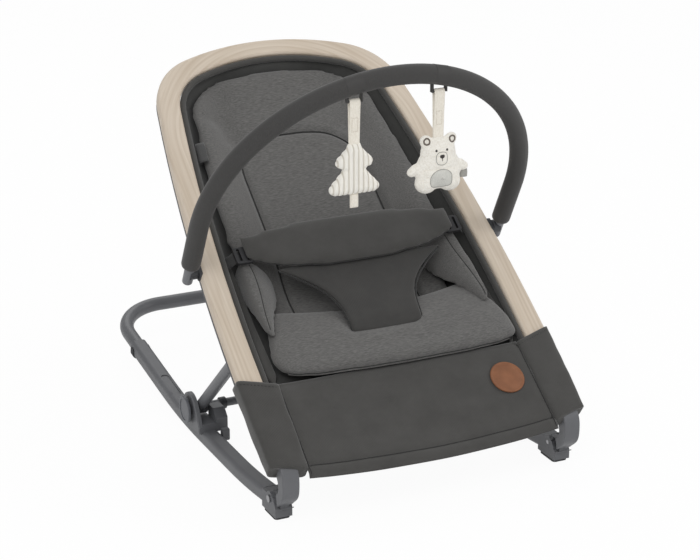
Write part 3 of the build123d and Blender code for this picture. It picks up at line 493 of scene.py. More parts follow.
class Finishes:
    """The materials of the seat, each made once."""

    def __init__(self) -> None:
        """Builds every material."""
        self.twill = ClothFinish("charcoal_twill", paint(61, 60, 58), paint(70, 69, 67), Weave.TWILL).material()
        # Painted shade: the sling is the cover's twill, given a darker colour for the shadow in the hammock.
        self.sling = ClothFinish("sling_twill_painted_shade", paint(52, 52, 51), paint(60, 60, 58), Weave.TWILL).material()
        # Painted shade: the crotch flap is the belt's twill, made darker for the shade under the belt.
        self.flap = ClothFinish("flap_twill_painted_shade", paint(50, 49, 48), paint(58, 57, 55), Weave.TWILL).material()
        self.heather = ClothFinish("heather_jersey", paint(80, 79, 78), paint(108, 107, 105), Weave.HEATHER).material()
        self.webbing = ClothFinish("woven_webbing", paint(44, 44, 44), paint(56, 56, 56), Weave.PLAIN).material()
        # Seam thread, made near black so that it also paints the shadow in the sewn grooves.
        self.thread = ClothFinish("seam_thread_and_painted_shadow", paint(32, 32, 31), paint(40, 40, 39), Weave.PLAIN).material()
        self.foam = ClothFinish("foam_cover", paint(54, 53, 52), paint(62, 61, 60), Weave.PLAIN, 0.75, 0.15).material()
        self.tag = ClothFinish("tag_cloth", paint(60, 60, 60), paint(74, 74, 74), Weave.PLAIN).material()
        self.cream = ClothFinish("cream_plush", paint(231, 226, 215), paint(244, 241, 233), Weave.PLUSH).material()
        self.ribbon = ClothFinish("cream_ribbon", paint(228, 221, 207), paint(242, 237, 226), Weave.PLAIN).material()
        self.patch = ClothFinish("patch_jersey", paint(196, 196, 190), paint(214, 213, 206), Weave.PLAIN).material()
        self.tab = ClothFinish("tab_cloth", paint(150, 149, 144), paint(166, 165, 159), Weave.PLAIN).material()
        self.sewn = ClothFinish("grey_sewing", paint(96, 88, 80), paint(118, 108, 98), Weave.PLAIN).material()
        self.beige = ClothFinish("cream_thread", paint(190, 178, 164), paint(204, 193, 179), Weave.PLAIN).material()
        self.dark_sewn = ClothFinish("dark_sewing", paint(46, 42, 40), paint(60, 55, 52), Weave.PLAIN).material()
        self.wood = WoodFinish("pale_wood", paint(219, 207, 192), paint(209, 196, 179), paint(192, 176, 156)).material()
        self.base = MouldedFinish("base_plastic", paint(98, 99, 102), 0.5).material()
        self.button = MouldedFinish("button_plastic", paint(90, 92, 97), 0.45).material()
        self.tube = MouldedFinish("coated_tube", paint(98, 99, 102), 0.42, 1500.0, 0.06).material()
        self.steel = MouldedFinish("pin_steel", paint(150, 150, 152), 0.35, 1200.0, 0.05, 1.0).material()
        self.rubber = MouldedFinish("foot_rubber", paint(60, 61, 63), 0.8, 700.0, 0.15).material()
        self.dark = MouldedFinish("dark_plastic", paint(58, 59, 62), 0.5).material()
        self.buckle = MouldedFinish("buckle_plastic", paint(42, 42, 44), 0.45).material()
        self.clip = MouldedFinish("clip_plastic", paint(60, 59, 58), 0.65).material()
        self.bar = MouldedFinish("bar_metal", paint(112, 113, 117), 0.4, 1500.0, 0.05).material()
        self.leather = LeatherFinish("badge_leather", paint(122, 76, 47), paint(140, 90, 58)).material()


def mesh_piece(name: str, points: Sequence[Vector], faces: Sequence[Sequence[int]]) -> bpy.types.Object:
    """A smooth-shaded mesh object in the shared frame.

    Args:
        name: name of the piece.
        points: vertices in metres.
        faces: vertex numbers of each face.

    Returns:
        The object.
    """
    mesh = bpy.data.meshes.new(name)
    mesh.from_pydata([tuple(p) for p in points], [], [tuple(f) for f in faces])
    mesh.polygons.foreach_set("use_smooth", [True] * len(mesh.polygons))
    mesh.update()
    piece = bpy.data.objects.new(name, mesh)
    bpy.context.scene.collection.objects.link(piece)
    return piece


def grid_faces(rows: int, columns: int, ring: bool = False, loop: bool = False, start: int = 0) -> list[list[int]]:
    """Quads of a grid of points.

    Args:
        rows: number of rows.
        columns: points in each row.
        ring: whether each row closes on itself.
        loop: whether the last row joins the first.
        start: number of the first point.

    Returns:
        The faces.
    """
    faces = []
    for r in range(rows if loop else rows - 1):
        for c in range(columns if ring else columns - 1):
            a, b = r * columns + c, r * columns + (c + 1) % columns
            below = (r + 1) % rows
            d = below * columns + c
            e = below * columns + (c + 1) % columns
            faces.append([start + a, start + b, start + e, start + d])
    return faces


def tube_faces(rows: int, count: int, start: int = 0) -> list[list[int]]:
    """Faces of a tube of closed rows, with a face over each end.

    Args:
        rows: number of rows.
        count: points in each row.
        start: number of the first point.

    Returns:
        The faces.
    """
    last = start + (rows - 1) * count
    ends = [[start + i for i in range(count)], [last + i for i in reversed(range(count))]]
    return grid_faces(rows, count, ring=True, start=start) + ends


def turned_frames(path: Sequence[Vector], up: Vector) -> list[tuple[Vector, Vector]]:
    """Side and up directions along a path, without twist.

    Args:
        path: points of the path.
        up: rough up direction at its start.

    Returns:
        One (side, up) pair for each point.
    """
    frames = []
    for i in range(len(path)):
        ahead = (path[min(i + 1, len(path) - 1)] - path[max(i - 1, 0)]).normalized()
        side = ahead.cross(up).normalized()
        up = side.cross(ahead).normalized()
        frames.append((side, up))
    return frames


def sweep(name: str, path: Sequence[Vector], section: Sequence[Pair], up: Vector,
          scale: Field1 = lambda share: 1.0) -> bpy.types.Object:
    """A closed section swept along a path, with flat ends.

    Args:
        name: name of the piece.
        path: points in metres.
        section: (side, up) points of the section in millimetres.
        up: rough up direction at the start.
        scale: size of the section over the share of the path's length.

    Returns:
        The object.
    """
    points, last = [], len(path) - 1
    for i, (spot, (side, top)) in enumerate(zip(path, turned_frames(path, up))):
        size = scale(i / last) * MM
        points += [spot + side * (a * size) + top * (b * size) for a, b in section]
    return mesh_piece(name, points, tube_faces(len(path), len(section)))


def round_section(radius: float, flat: float = 1.0, count: int = 12) -> list[Pair]:
    """Points of a round or flattened section.

    Args:
        radius: half-width in millimetres.
        flat: height over width.
        count: number of points.

    Returns:
        (side, up) points.
    """
    return [(radius * cos(2 * pi * i / count), flat * radius * sin(2 * pi * i / count)) for i in range(count)]


def ribbon_section(width: float, thick: float) -> list[Pair]:
    """Section of a flat ribbon with rounded edges, in millimetres."""
    w, t = width / 2, thick / 2
    return [(-w, 0), (-w + t, -t), (-w / 2, -t), (0, -t), (w / 2, -t), (w - t, -t),
            (w, 0), (w - t, t), (w / 2, t), (0, t), (-w / 2, t), (-w + t, t)]


def solved(piece: bpy.types.Object) -> bpy.types.Mesh:
    """A new mesh with the piece's modifiers applied."""
    graph = bpy.context.evaluated_depsgraph_get()
    return bpy.data.meshes.new_from_object(piece.evaluated_get(graph))


def take_mesh(piece: bpy.types.Object, mesh: bpy.types.Mesh) -> None:
    """Gives a piece a new mesh and drops its modifiers."""
    old = piece.data
    piece.modifiers.clear()
    piece.data = mesh
    bpy.data.meshes.remove(old)
    mesh.name = piece.name
    mesh.polygons.foreach_set("use_smooth", [True] * len(mesh.polygons))


def rounded(piece: bpy.types.Object) -> None:
    """Rounds a piece with one level of subdivision."""
    smooth = piece.modifiers.new("round", "SUBSURF")
    smooth.levels = smooth.render_levels = 1
    take_mesh(piece, solved(piece))


@dataclass(frozen=True)
class Stuffing:
    """How a sewn pad is swelled by simulation."""

    voxel: float = 5.0
    pressure: float = 4.0
    cap: float = 6.0
    frames: int = 20
    settle: int = 8

    def swell(self, piece: bpy.types.Object) -> None:
        """Swells a pad with the cloth solver and keeps the result as its mesh.

        Args:
            piece: the closed pad.
        """
        remesh = piece.modifiers.new("even_mesh", "REMESH")
        remesh.mode = "VOXEL"
        remesh.voxel_size = self.voxel * MM
        take_mesh(piece, solved(piece))
        self.blow(piece)
        calm = piece.modifiers.new("settle", "SMOOTH")
        calm.factor, calm.iterations = 0.5, self.settle
        rounded(piece)

    def blow(self, piece: bpy.types.Object) -> None:
        """Runs the cloth solver on a pad, with each point's travel capped.

        Args:
            piece: the evenly meshed pad.
        """
        scene = bpy.context.scene
        rest = [v.co.copy() for v in piece.data.vertices]
        cloth = piece.modifiers.new("swell", "CLOTH")
        cloth.settings.use_pressure = True
        cloth.settings.uniform_pressure_force = self.pressure
        cloth.settings.effector_weights.gravity = 0
        cloth.settings.quality = 5
        cloth.settings.mass = 0.3
        cloth.settings.bending_stiffness = 2.0
        cloth.collision_settings.use_collision = False
        cloth.point_cache.frame_start = 1
        cloth.point_cache.frame_end = self.frames
        for step in range(1, self.frames + 1):
            scene.frame_set(step)
        swelled = solved(piece)
        cap = self.cap * MM
        for vertex, old in zip(swelled.vertices, rest):
            move = vertex.co - old
            if move.length > cap:
                vertex.co = old + move * (cap / move.length)
        take_mesh(piece, swelled)
        scene.frame_set(1)


@dataclass
class Pillow:
    """A closed sewn pad over an outline, crowned above and flatter below. Sizes in millimetres."""

    half: Field1
    front: Field1
    rear: Field1
    level: Field2
    thick: float
    crown: float
    across: int = 60
    along: int = 60
    sit: float = 0.4
    point: Callable[[float, float, float], Vector] = SEAT.point

    def spot(self, t: float, r: float) -> tuple[float, float, float]:
        """Place on the pad from shares across and along.

        Args:
            t: from -1 at the left edge to 1 at the right.
            r: from 0 at the front to 1 at the rear.

        Returns:
            x, s and fullness there.
        """
        u, v = sin(t * pi / 2), (1 - cos(pi * r)) / 2
        half = self.half(mix(self.front(0), self.rear(0), v))
        x = u * half
        front, rear = self.front(x), self.rear(x)
        s = mix(front, rear, v)
        gaps = [clamp(gap / self.crown) for gap in (half - abs(x), s - front, rear - s)]
        full = 1.0
        for gap in gaps:
            full *= sqrt(1 - (1 - gap) ** 2)
        return x, s, full

    def build(self, name: str) -> bpy.types.Object:
        """Builds the pad's mesh.

        Args:
            name: name of the piece.

        Returns:
            The object.
        """
        columns, rows = self.across + 1, self.along + 1
        points: list[Vector] = []
        under: dict[tuple[int, int], int] = {}
        for r in range(rows):
            for c in range(columns):
                x, s, full = self.spot(2 * c / self.across - 1, r / self.along)
                n = self.level(x, s) + self.thick * (self.sit + (1 - self.sit) * full)
                points.append(self.point(x, s, n))
        for r in range(rows):
            for c in range(columns):
                if r in (0, rows - 1) or c in (0, columns - 1):
                    under[r, c] = r * columns + c
                    continue
                x, s, full = self.spot(2 * c / self.across - 1, r / self.along)
                under[r, c] = len(points)
                points.append(self.point(x, s, self.level(x, s) + self.thick * self.sit * (1 - full)))
        faces = grid_faces(rows, columns)
        for r in range(rows - 1):
            for c in range(columns - 1):
                faces.append([under[r, c], under[r + 1, c], under[r + 1, c + 1], under[r, c + 1]])
        return mesh_piece(name, points, faces)


@dataclass(frozen=True)
class Groove:
    """A sewn line pressed into a pad: its depth and half-width in millimetres."""

    depth: float
    width: float


@dataclass(frozen=True)
class Thread:
    """Stitches of one row: sizes in millimetres, and the (place, girth) shares of a stitch."""

    pitch: float
    length: float
    radius: float
    shape: Pairs = ((-0.5, 0.35), (-0.25, 1.0), (0.25, 1.0), (0.5, 0.35))
    sides: int = 6


class Sewing:
    """Seams, piping and stitches laid on a finished piece.

    FACING is the least facing of a point that is pressed, SPREAD the reach of a groove in its half-widths, and DROP
    the height in metres from which a path is dropped on the piece.
    """

    FACING = 0.1
    SPREAD = 3
    DROP = 0.12
    CORD_SIDES = 8

    def __init__(self, piece: bpy.types.Object, out: Vector) -> None:
        """Keeps the piece and the side that is sewn on."""
        self.piece = piece
        self.out = out.normalized()

    def press(self, path: Sequence[Vector], groove: Groove) -> None:
        """Presses a sewn groove into the piece along a path.

        Args:
            path: points near the surface.
            groove: its depth and width.
        """
        near = KDTree(len(path))
        for i, spot in enumerate(path):
            near.insert(spot - self.out * spot.dot(self.out), i)
        near.balance()
        mesh = self.piece.data
        moves = []
        for vertex in mesh.vertices:
            facing = vertex.normal.dot(self.out)
            if facing <= self.FACING:
                continue
            flat = vertex.co - self.out * vertex.co.dot(self.out)
            away = near.find(flat)[2] / MM
            if away < self.SPREAD * groove.width:
                move = groove.depth * MM * exp(-(away / groove.width) ** 2) * ease(facing * 2)
                moves.append((vertex.index, move))
        for index, move in moves:
            mesh.vertices[index].co -= self.out * move
        mesh.update()

    def laid(self, path: Sequence[Vector], lift: float = 0.0) -> list[Vector]:
        """The path dropped on the piece's sewn side.

        Args:
            path: points near the surface.
            lift: height over the surface in millimetres.

        Returns:
            Points on the surface; points that miss it are left out.
        """
        tree = BVHTree.FromObject(self.piece, bpy.context.evaluated_depsgraph_get())
        found = []
        for spot in path:
            hit = tree.ray_cast(spot + self.out * self.DROP, -self.out)[0]
            if hit is not None:
                found.append(hit + self.out * (lift * MM))
        return found

    def cord(self, name: str, path: Sequence[Vector], radius: float, lift: float = 0.0) -> bpy.types.Object:
        """Piping or a sewn line on the surface.

        Args:
            name: name of the piece.
            path: points near the surface.
            radius: radius in millimetres.
            lift: height over the surface in millimetres.

        Returns:
            The object.
        """
        return sweep(name, self.laid(path, lift), round_section(radius, 1.0, self.CORD_SIDES), self.out)


def stitches(name: str, path: Sequence[Vector], up: Vector, thread: Thread) -> bpy.types.Object:
    """A row of short raised stitches along a path.

    Args:
        name: name of the piece.
        path: points of the row.
        up: direction out of the cloth.
        thread: sizes of the stitches.

    Returns:
        One object with all of them.
    """
    points: list[Vector] = []
    faces: list[list[int]] = []
    ring = round_section(1.0, 1.0, thread.sides)
    travelled, due = 0.0, 0.0
    for a, b in zip(path, path[1:]):
        run = (b - a).length / MM
        while run > 0 and due <= travelled + run:
            middle = a.lerp(b, (due - travelled) / run)
            ahead = (b - a).normalized()
            side = ahead.cross(up).normalized()
            start = len(points)
            for reach, size in thread.shape:
                spot = middle + ahead * (reach * thread.length * MM)
                points += [spot + (side * p + up * q) * (thread.radius * size * MM) for p, q in ring]
            faces += tube_faces(len(thread.shape), thread.sides, start)
            due += thread.pitch
        travelled += run
    return mesh_piece(name, points, faces)


def dense(points: Sequence[Pair], step: float = 3.0) -> list[Pair]:
    """Points of a polyline at an even step.

    Args:
        points: corners in millimetres.
        step: distance between points.

    Returns:
        The points.
    """
    found = []
    for (x0, y0), (x1, y1) in zip(points, points[1:]):
        count = max(1, int(sqrt((x1 - x0) ** 2 + (y1 - y0) ** 2) / step))
        found += [(mix(x0, x1, i / count), mix(y0, y1, i / count)) for i in range(count)]
    return found + [points[-1]]


def dress(piece: bpy.types.Object, material: bpy.types.Material, body: Body,
          nodes: Iterable[str] = ()) -> bpy.types.Object:
    """Gives a piece its material and body, and hides the CAD nodes it stands for.

    Args:
        piece: the object.
        material: its finish.
        body: the body it rides on.
        nodes: CAD nodes it replaces.

    Returns:
        The piece.
    """
    piece.data.materials.clear()
    piece.data.materials.append(material)
    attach(piece, body.value)
    if nodes:
        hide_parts(*nodes)
    LOG.info("piece %s on %s", piece.name, body.value)
    return piece


def thicken(piece: bpy.types.Object, thick: float) -> None:
    """Makes an open cloth surface a closed sheet.

    Args:
        piece: the surface.
        thick: thickness in millimetres, half to each side.
    """
    shell = piece.modifiers.new("thickness", "SOLIDIFY")
    shell.thickness = thick * MM
    shell.offset = 0.0
    take_mesh(piece, solved(piece))


@dataclass
class Sling:
    """Hammock of cloth hung inside the wooden frame, with its hemmed rim, stitches and side pleats."""

    floor: Pairs = (
        (-24.0, -20.0), (-8.0, -24.0), (60.0, -40.0), (160.0, -71.0), (262.0, -60.0), (400.0, -54.0),
        (470.0, -47.0), (505.0, -42.0), (545.0, -28.0), (558.0, -16.0), (564.6, -10.5))
    edge: float = -12.9
    inset: float = 5.0
    cloth: float = 2.0
    flatness: float = 6.0
    rim_radius: float = 4.5
    rim_level: float = -8.0
    rim_foot: float = -9.0
    rim_gap: float = 0.1
    rim_step: float = 6.0
    stitch_inset: float = 4.3
    stitch_lift: float = 3.4
    stitch: Thread = Thread(7.0, 4.6, 0.7)
    flat_width: float = 0.46
    flat_share: float = 0.9
    pleat_inset: float = 19.0
    pleat_radius: float = 8.0
    pleat_flat: float = 0.6
    pleat_lift: float = 4.0
    pleat_wander: float = 1.5
    pleat_ends: Pair = (2.0, 226.0)
    rows: int = 80
    columns: int = 64

    def level(self, x: float, s: float) -> float:
        """Level of the cloth's middle at x, s."""
        across = clamp(abs(x) / max(EDGE.half(s, self.inset), 1.0))
        return self.edge + (through(self.floor)(s) - self.edge) * (1 - across ** self.flatness)

    def build(self, finishes: Finishes) -> None:
        """Builds and dresses the sling and its rim.

        Args:
            finishes: the materials.
        """
        start, end = self.floor[0][0], self.floor[-1][0]
        points = []
        for r in range(self.rows):
            s = mix(start, end, sin(r / (self.rows - 1) * pi / 2))
            half = EDGE.half(s, self.inset)
            for c in range(self.columns):
                x = half * sin((2 * c / (self.columns - 1) - 1) * pi / 2)
                points.append(SEAT.point(x, s, self.level(x, s)))
        sling = mesh_piece("sling_hammock", points, grid_faces(self.rows, self.columns))
        thicken(sling, self.cloth)
        # The sling's twill is darker than the cover's as painted shade.
        dress(sling, finishes.sling, Body.SEAT, ["seat_sling"])
        edge = EDGE.path(self.inset + self.rim_gap, self.rim_foot)
        path = [SEAT.point(x, s, self.rim_level) for x, s in dense(edge, self.rim_step)]
        rim = sweep("sling_rim_hem", path, round_section(self.rim_radius, 1.0, 14), SEAT.out)
        dress(rim, finishes.twill, Body.SEAT, ["sling_rim"])
        edge = EDGE.path(self.inset + self.stitch_inset, self.rim_foot)
        row = [SEAT.point(x, s, self.edge + self.stitch_lift) for x, s in dense(edge, self.rim_step)]
        sewn = stitches("sling_rim_stitches", row, SEAT.out, self.stitch)
        dress(sewn, finishes.tag, Body.SEAT)
        for name, side in SIDES:
            self.build_pleat(finishes, name, side)

    def build_pleat(self, finishes: Finishes, name: str, side: int) -> None:
        """Builds the long soft fold of the sling beside the seat cushion.

        Args:
            finishes: the materials.
            name: left or right.
            side: -1 or 1.
        """
        path, steps = [], 48
        for i in range(steps + 1):
            s = mix(*self.pleat_ends, i / steps)
            x = EDGE.half(s, self.pleat_inset) + self.pleat_wander * noise.noise(Vector((s / 60, side * 5.0, 0)))
            path.append(SEAT.point(side * x, s, self.level(x, s) + self.pleat_lift))
        roll = sweep(name + "_sling_pleat", path, round_section(self.pleat_radius, self.pleat_flat, 16), SEAT.out,
                     lambda share: 0.3 + 0.7 * ease(min(share * 14, (1 - share) * 4)))
        dress(roll, finishes.twill, Body.SEAT)


@dataclass
class Backrest:
    """Heather inlay of the backrest: sunk middle inside a horseshoe seam, raised sides, arched top."""

    half: Pairs = (
        (104.0, 152.0), (150.0, 154.0), (200.0, 160.0), (240.0, 168.0), (300.0, 173.0), (400.0, 170.0),
        (460.0, 165.0), (500.0, 158.0), (554.0, 152.0))
    arch: Pairs = (
        (0.0, 555.0), (50.0, 553.5), (90.0, 547.0), (120.0, 532.0), (143.0, 507.0), (158.0, 476.0),
        (172.0, 446.0))
    foot: float = 104.0
    middle: Pairs = (
        (104.0, -51.5), (140.0, -63.5), (176.0, -65.0), (236.0, -53.0), (300.0, -50.0), (400.0, -47.0),
        (470.0, -40.0), (510.0, -33.0), (546.0, -23.0))
    sides: Pairs = (
        (104.0, -46.0), (140.0, -54.0), (176.0, -52.0), (236.0, -29.0), (300.0, -25.0), (400.0, -24.0),
        (546.0, -22.0))
    wing_start: float = 12.0
    wing_run: float = 66.0
    thick: float = 10.0
    crown: float = 13.0
    stuffing: Stuffing = Stuffing(voxel=5.4, cap=3.5, frames=9, settle=30)
    seam_half: float = 97.0
    seam_turn: float = 357.0
    seam_top: float = 439.0
    seam_powers: Pair = (0.7, 0.7)
    seam_groove: Groove = Groove(5.5, 5.0)
    border_half: float = 152.0
    border_inset: float = 7.0
    border_groove: Groove = Groove(1.8, 2.6)
    dent: Pairs = ((94.0, 440.0), (104.0, 474.0), (96.0, 514.0))
    dent_groove: Groove = Groove(7.5, 19.0)
    pinch: Pairs = ((100.0, 470.0), (146.0, 480.0))
    pinch_groove: Groove = Groove(1.6, 12.0)

    def level(self, x: float, s: float) -> float:
        """Level of the underside at x, s."""
        wing = ease((abs(x) - self.seam_half + self.wing_start) / self.wing_run)
        return mix(through(self.middle)(s), through(self.sides)(s), wing)

    def seam(self) -> list[Vector]:
        """Points of the horseshoe seam, over the inlay."""
        legs = dense([(-self.seam_half - 2, self.foot + 4), (-self.seam_half, self.seam_turn)])
        rise = self.seam_top - self.seam_turn
        round_part, steps = [], 60
        for i in range(steps + 1):
            a, b = squared(pi * i / steps, self.seam_powers)
            round_part.append((-self.seam_half * a, self.seam_turn + rise * b))
        other = [(-x, s) for x, s in reversed(legs)]
        return [SEAT.point(x, s, 0) for x, s in dense(legs + round_part + other, 2.5)]

    def build(self, finishes: Finishes) -> None:
        """Builds and dresses the inlay.

        Args:
            finishes: the materials.
        """
        arch = through(self.arch)
        pad = Pillow(through(self.half), lambda x: self.foot, lambda x: arch(abs(x)), self.level, self.thick,
                     self.crown, across=70, along=70)
        inlay = pad.build("backrest_inlay")
        self.stuffing.swell(inlay)
        sewing = Sewing(inlay, SEAT.out)
        sewing.press(self.seam(), self.seam_groove)
        ends = [(-self.border_half, 0.0), (self.border_half, 0.0)]
        border = [SEAT.point(x, arch(abs(x)) - self.border_inset, 0) for x, _ in dense(ends, 2.0)]
        sewing.press(border, self.border_groove)
        for _, side in SIDES:
            for line, groove in ((self.dent, self.dent_groove), (self.pinch, self.pinch_groove)):
                sewing.press([SEAT.point(side * x, s, 0) for x, s in dense(line)], groove)
        dress(inlay, finishes.heather, Body.SEAT, ["backrest_pad"])
        # The near-black seam cord is partly painted groove shadow.
        line = sewing.cord("backrest_seam", self.seam(), 1.3, 0.7)
        dress(line, finishes.thread, Body.SEAT)


@dataclass
class SeatCushion:
    """Heather seat pad with its boxed front edge, and the wedge pads beside the hips."""

    sling: Sling
    shift: float = 8.0
    half: Pairs = ((-9.0, 189.0), (20.0, 188.0), (60.0, 178.0), (100.0, 164.0), (124.0, 150.0))
    front: Pairs = (
        (-189.0, 22.0), (-175.0, 8.0), (-150.0, 0.0), (-100.0, -5.0), (0.0, -9.0), (100.0, -7.0),
        (150.0, -3.0), (178.0, 2.0), (189.0, 8.0))
    rear: float = 110.0
    rear_bow: float = 12.0
    rear_reach: float = 120.0
    under: Pairs = (
        (-9.0, -5.0), (-2.0, -7.5), (20.0, -14.0), (58.0, -20.0), (110.0, -39.0), (166.0, -66.0),
        (178.0, -71.0))
    clear: float = 1.6
    thick: float = 20.0
    crown: float = 14.0
    stuffing: Stuffing = Stuffing(voxel=5.0, cap=4.5, frames=9, settle=16)
    hollow_rows: tuple[float, ...] = (60.0, 72.0, 84.0, 96.0)
    hollow_half: int = 46
    hollow_groove: Groove = Groove(5.0, 11.0)
    piping_half: float = 172.0
    piping_share: float = 0.22
    seam_rise: float = 2.4
    ridge: Pair = (0.52, 0.3)
    wedge: tuple[tuple[float, float, float, float, float], ...] = (
        (68.0, 169.0, 6.0, 164.0, 1.0), (80.0, 173.0, 9.0, 158.0, -5.0), (110.0, 174.0, 7.0, 144.0, -16.0),
        (145.0, 173.0, 4.0, 124.0, -33.0), (172.0, 171.0, 1.0, 117.0, -43.0), (190.0, 170.0, -2.0, 117.0, -43.0),
        (206.0, 169.0, -6.0, 122.0, -42.0))
    wedge_puffs: tuple[float, ...] = (0.1, 0.02, 0.04, 0.04)
    wedge_stuffing: Stuffing = Stuffing(voxel=3.6, cap=2.5, frames=10, settle=3)
    wedge_seam: Pair = (10.0, 8.0)
    wedge_seam_share: float = 0.26
    wedge_groove: Groove = Groove(1.4, 2.6)

    def build(self, finishes: Finishes) -> None:
        """Builds and dresses the pad and the wedges.

        Args:
            finishes: the materials.
        """
        front, under = through(self.front), through(self.under)

        def level(x: float, s: float) -> float:
            """Level of the underside, clear of the sling."""
            return max(under(s), self.sling.level(x + self.shift, s) + self.clear)

        def place(x: float, s: float, n: float) -> Vector:
            """Point of the loose pad, which lies a little to the right."""
            return SEAT.point(x + self.shift, s, n)

        def rear(x: float) -> float:
            """Rear edge, which comes forward in its middle."""
            return self.rear + self.rear_bow * (x / self.rear_reach) ** 2

        pad = Pillow(through(self.half), front, rear, level, self.thick, self.crown, across=70, along=50, point=place)
        cushion = pad.build("seat_cushion")
        self.stuffing.swell(cushion)
        columns = range(-self.hollow_half, self.hollow_half + 1, 4)
        hollow = [SEAT.point(x, s, 0) for s in self.hollow_rows for x in columns]
        Sewing(cushion, SEAT.out).press(hollow, self.hollow_groove)
        dress(cushion, finishes.heather, Body.SEAT, ["seat_pad"])
        edge, steps = [], 120
        for i in range(steps + 1):
            x = mix(-self.piping_half, self.piping_half, i / steps)
            edge.append(place(x, front(x), level(x, front(x)) + self.piping_share * self.thick))
        sewing = Sewing(cushion, -SEAT.along)
        dress(sewing.cord("seat_cushion_piping", edge, 1.6, 0.5), finishes.heather, Body.SEAT)
        seam = [spot + SEAT.out * (self.seam_rise * MM) for spot in edge]
        dress(sewing.cord("seat_cushion_seam", seam, 0.9, 0.1), finishes.thread, Body.SEAT)
        for name, side in SIDES:
            self.build_wedge(finishes, name, side)

    def build_wedge(self, finishes: Finishes, name: str, side: int) -> None:
        """Builds one wedge pad.

        Args:
            finishes: the materials.
            name: left or right.
            side: -1 or 1.
        """
        points, rows, steps = [], 30, 8
        fields = [through([(row[0], row[k]) for row in self.wedge]) for k in range(1, 5)]
        for r in range(rows):
            s = mix(self.wedge[0][0], self.wedge[-1][0], (1 - cos(pi * r / (rows - 1))) / 2)
            outer, top, inner, bottom = (f(s) for f in fields)
            ridge = (mix(outer, inner, self.ridge[0]), mix(top, bottom, self.ridge[1]))
            corners = ((outer, top), ridge, (inner, bottom), (outer, bottom))
            for (x0, n0), (x1, n1), puff in zip(corners, corners[1:] + corners[:1], self.wedge_puffs):
                for i in range(steps):
                    share = i / steps
                    lift = puff * sin(pi * share)
                    points.append(SEAT.point(side * (mix(x0, x1, share) + lift * (n1 - n0)), s,
                                             mix(n0, n1, share) - lift * (x1 - x0)))
        wedge = mesh_piece(name + "_hip_wedge", points, tube_faces(rows, len(self.wedge_puffs) * steps))
        self.wedge_stuffing.swell(wedge)
        sewing = Sewing(wedge, SEAT.out)
        seam, last = [], 49
        for i in range(last + 1):
            s = mix(self.wedge[0][0] + self.wedge_seam[0], self.wedge[-1][0] - self.wedge_seam[1], i / last)
            seam.append(SEAT.point(side * mix(fields[0](s), fields[2](s), self.wedge_seam_share), s, 0))
        sewing.press(seam, self.wedge_groove)
        dress(wedge, finishes.heather, Body.SEAT, [name + "_hip_bolster"])
        dress(sewing.cord(name + "_wedge_seam", seam, 0.7, 0.1), finishes.thread, Body.SEAT)


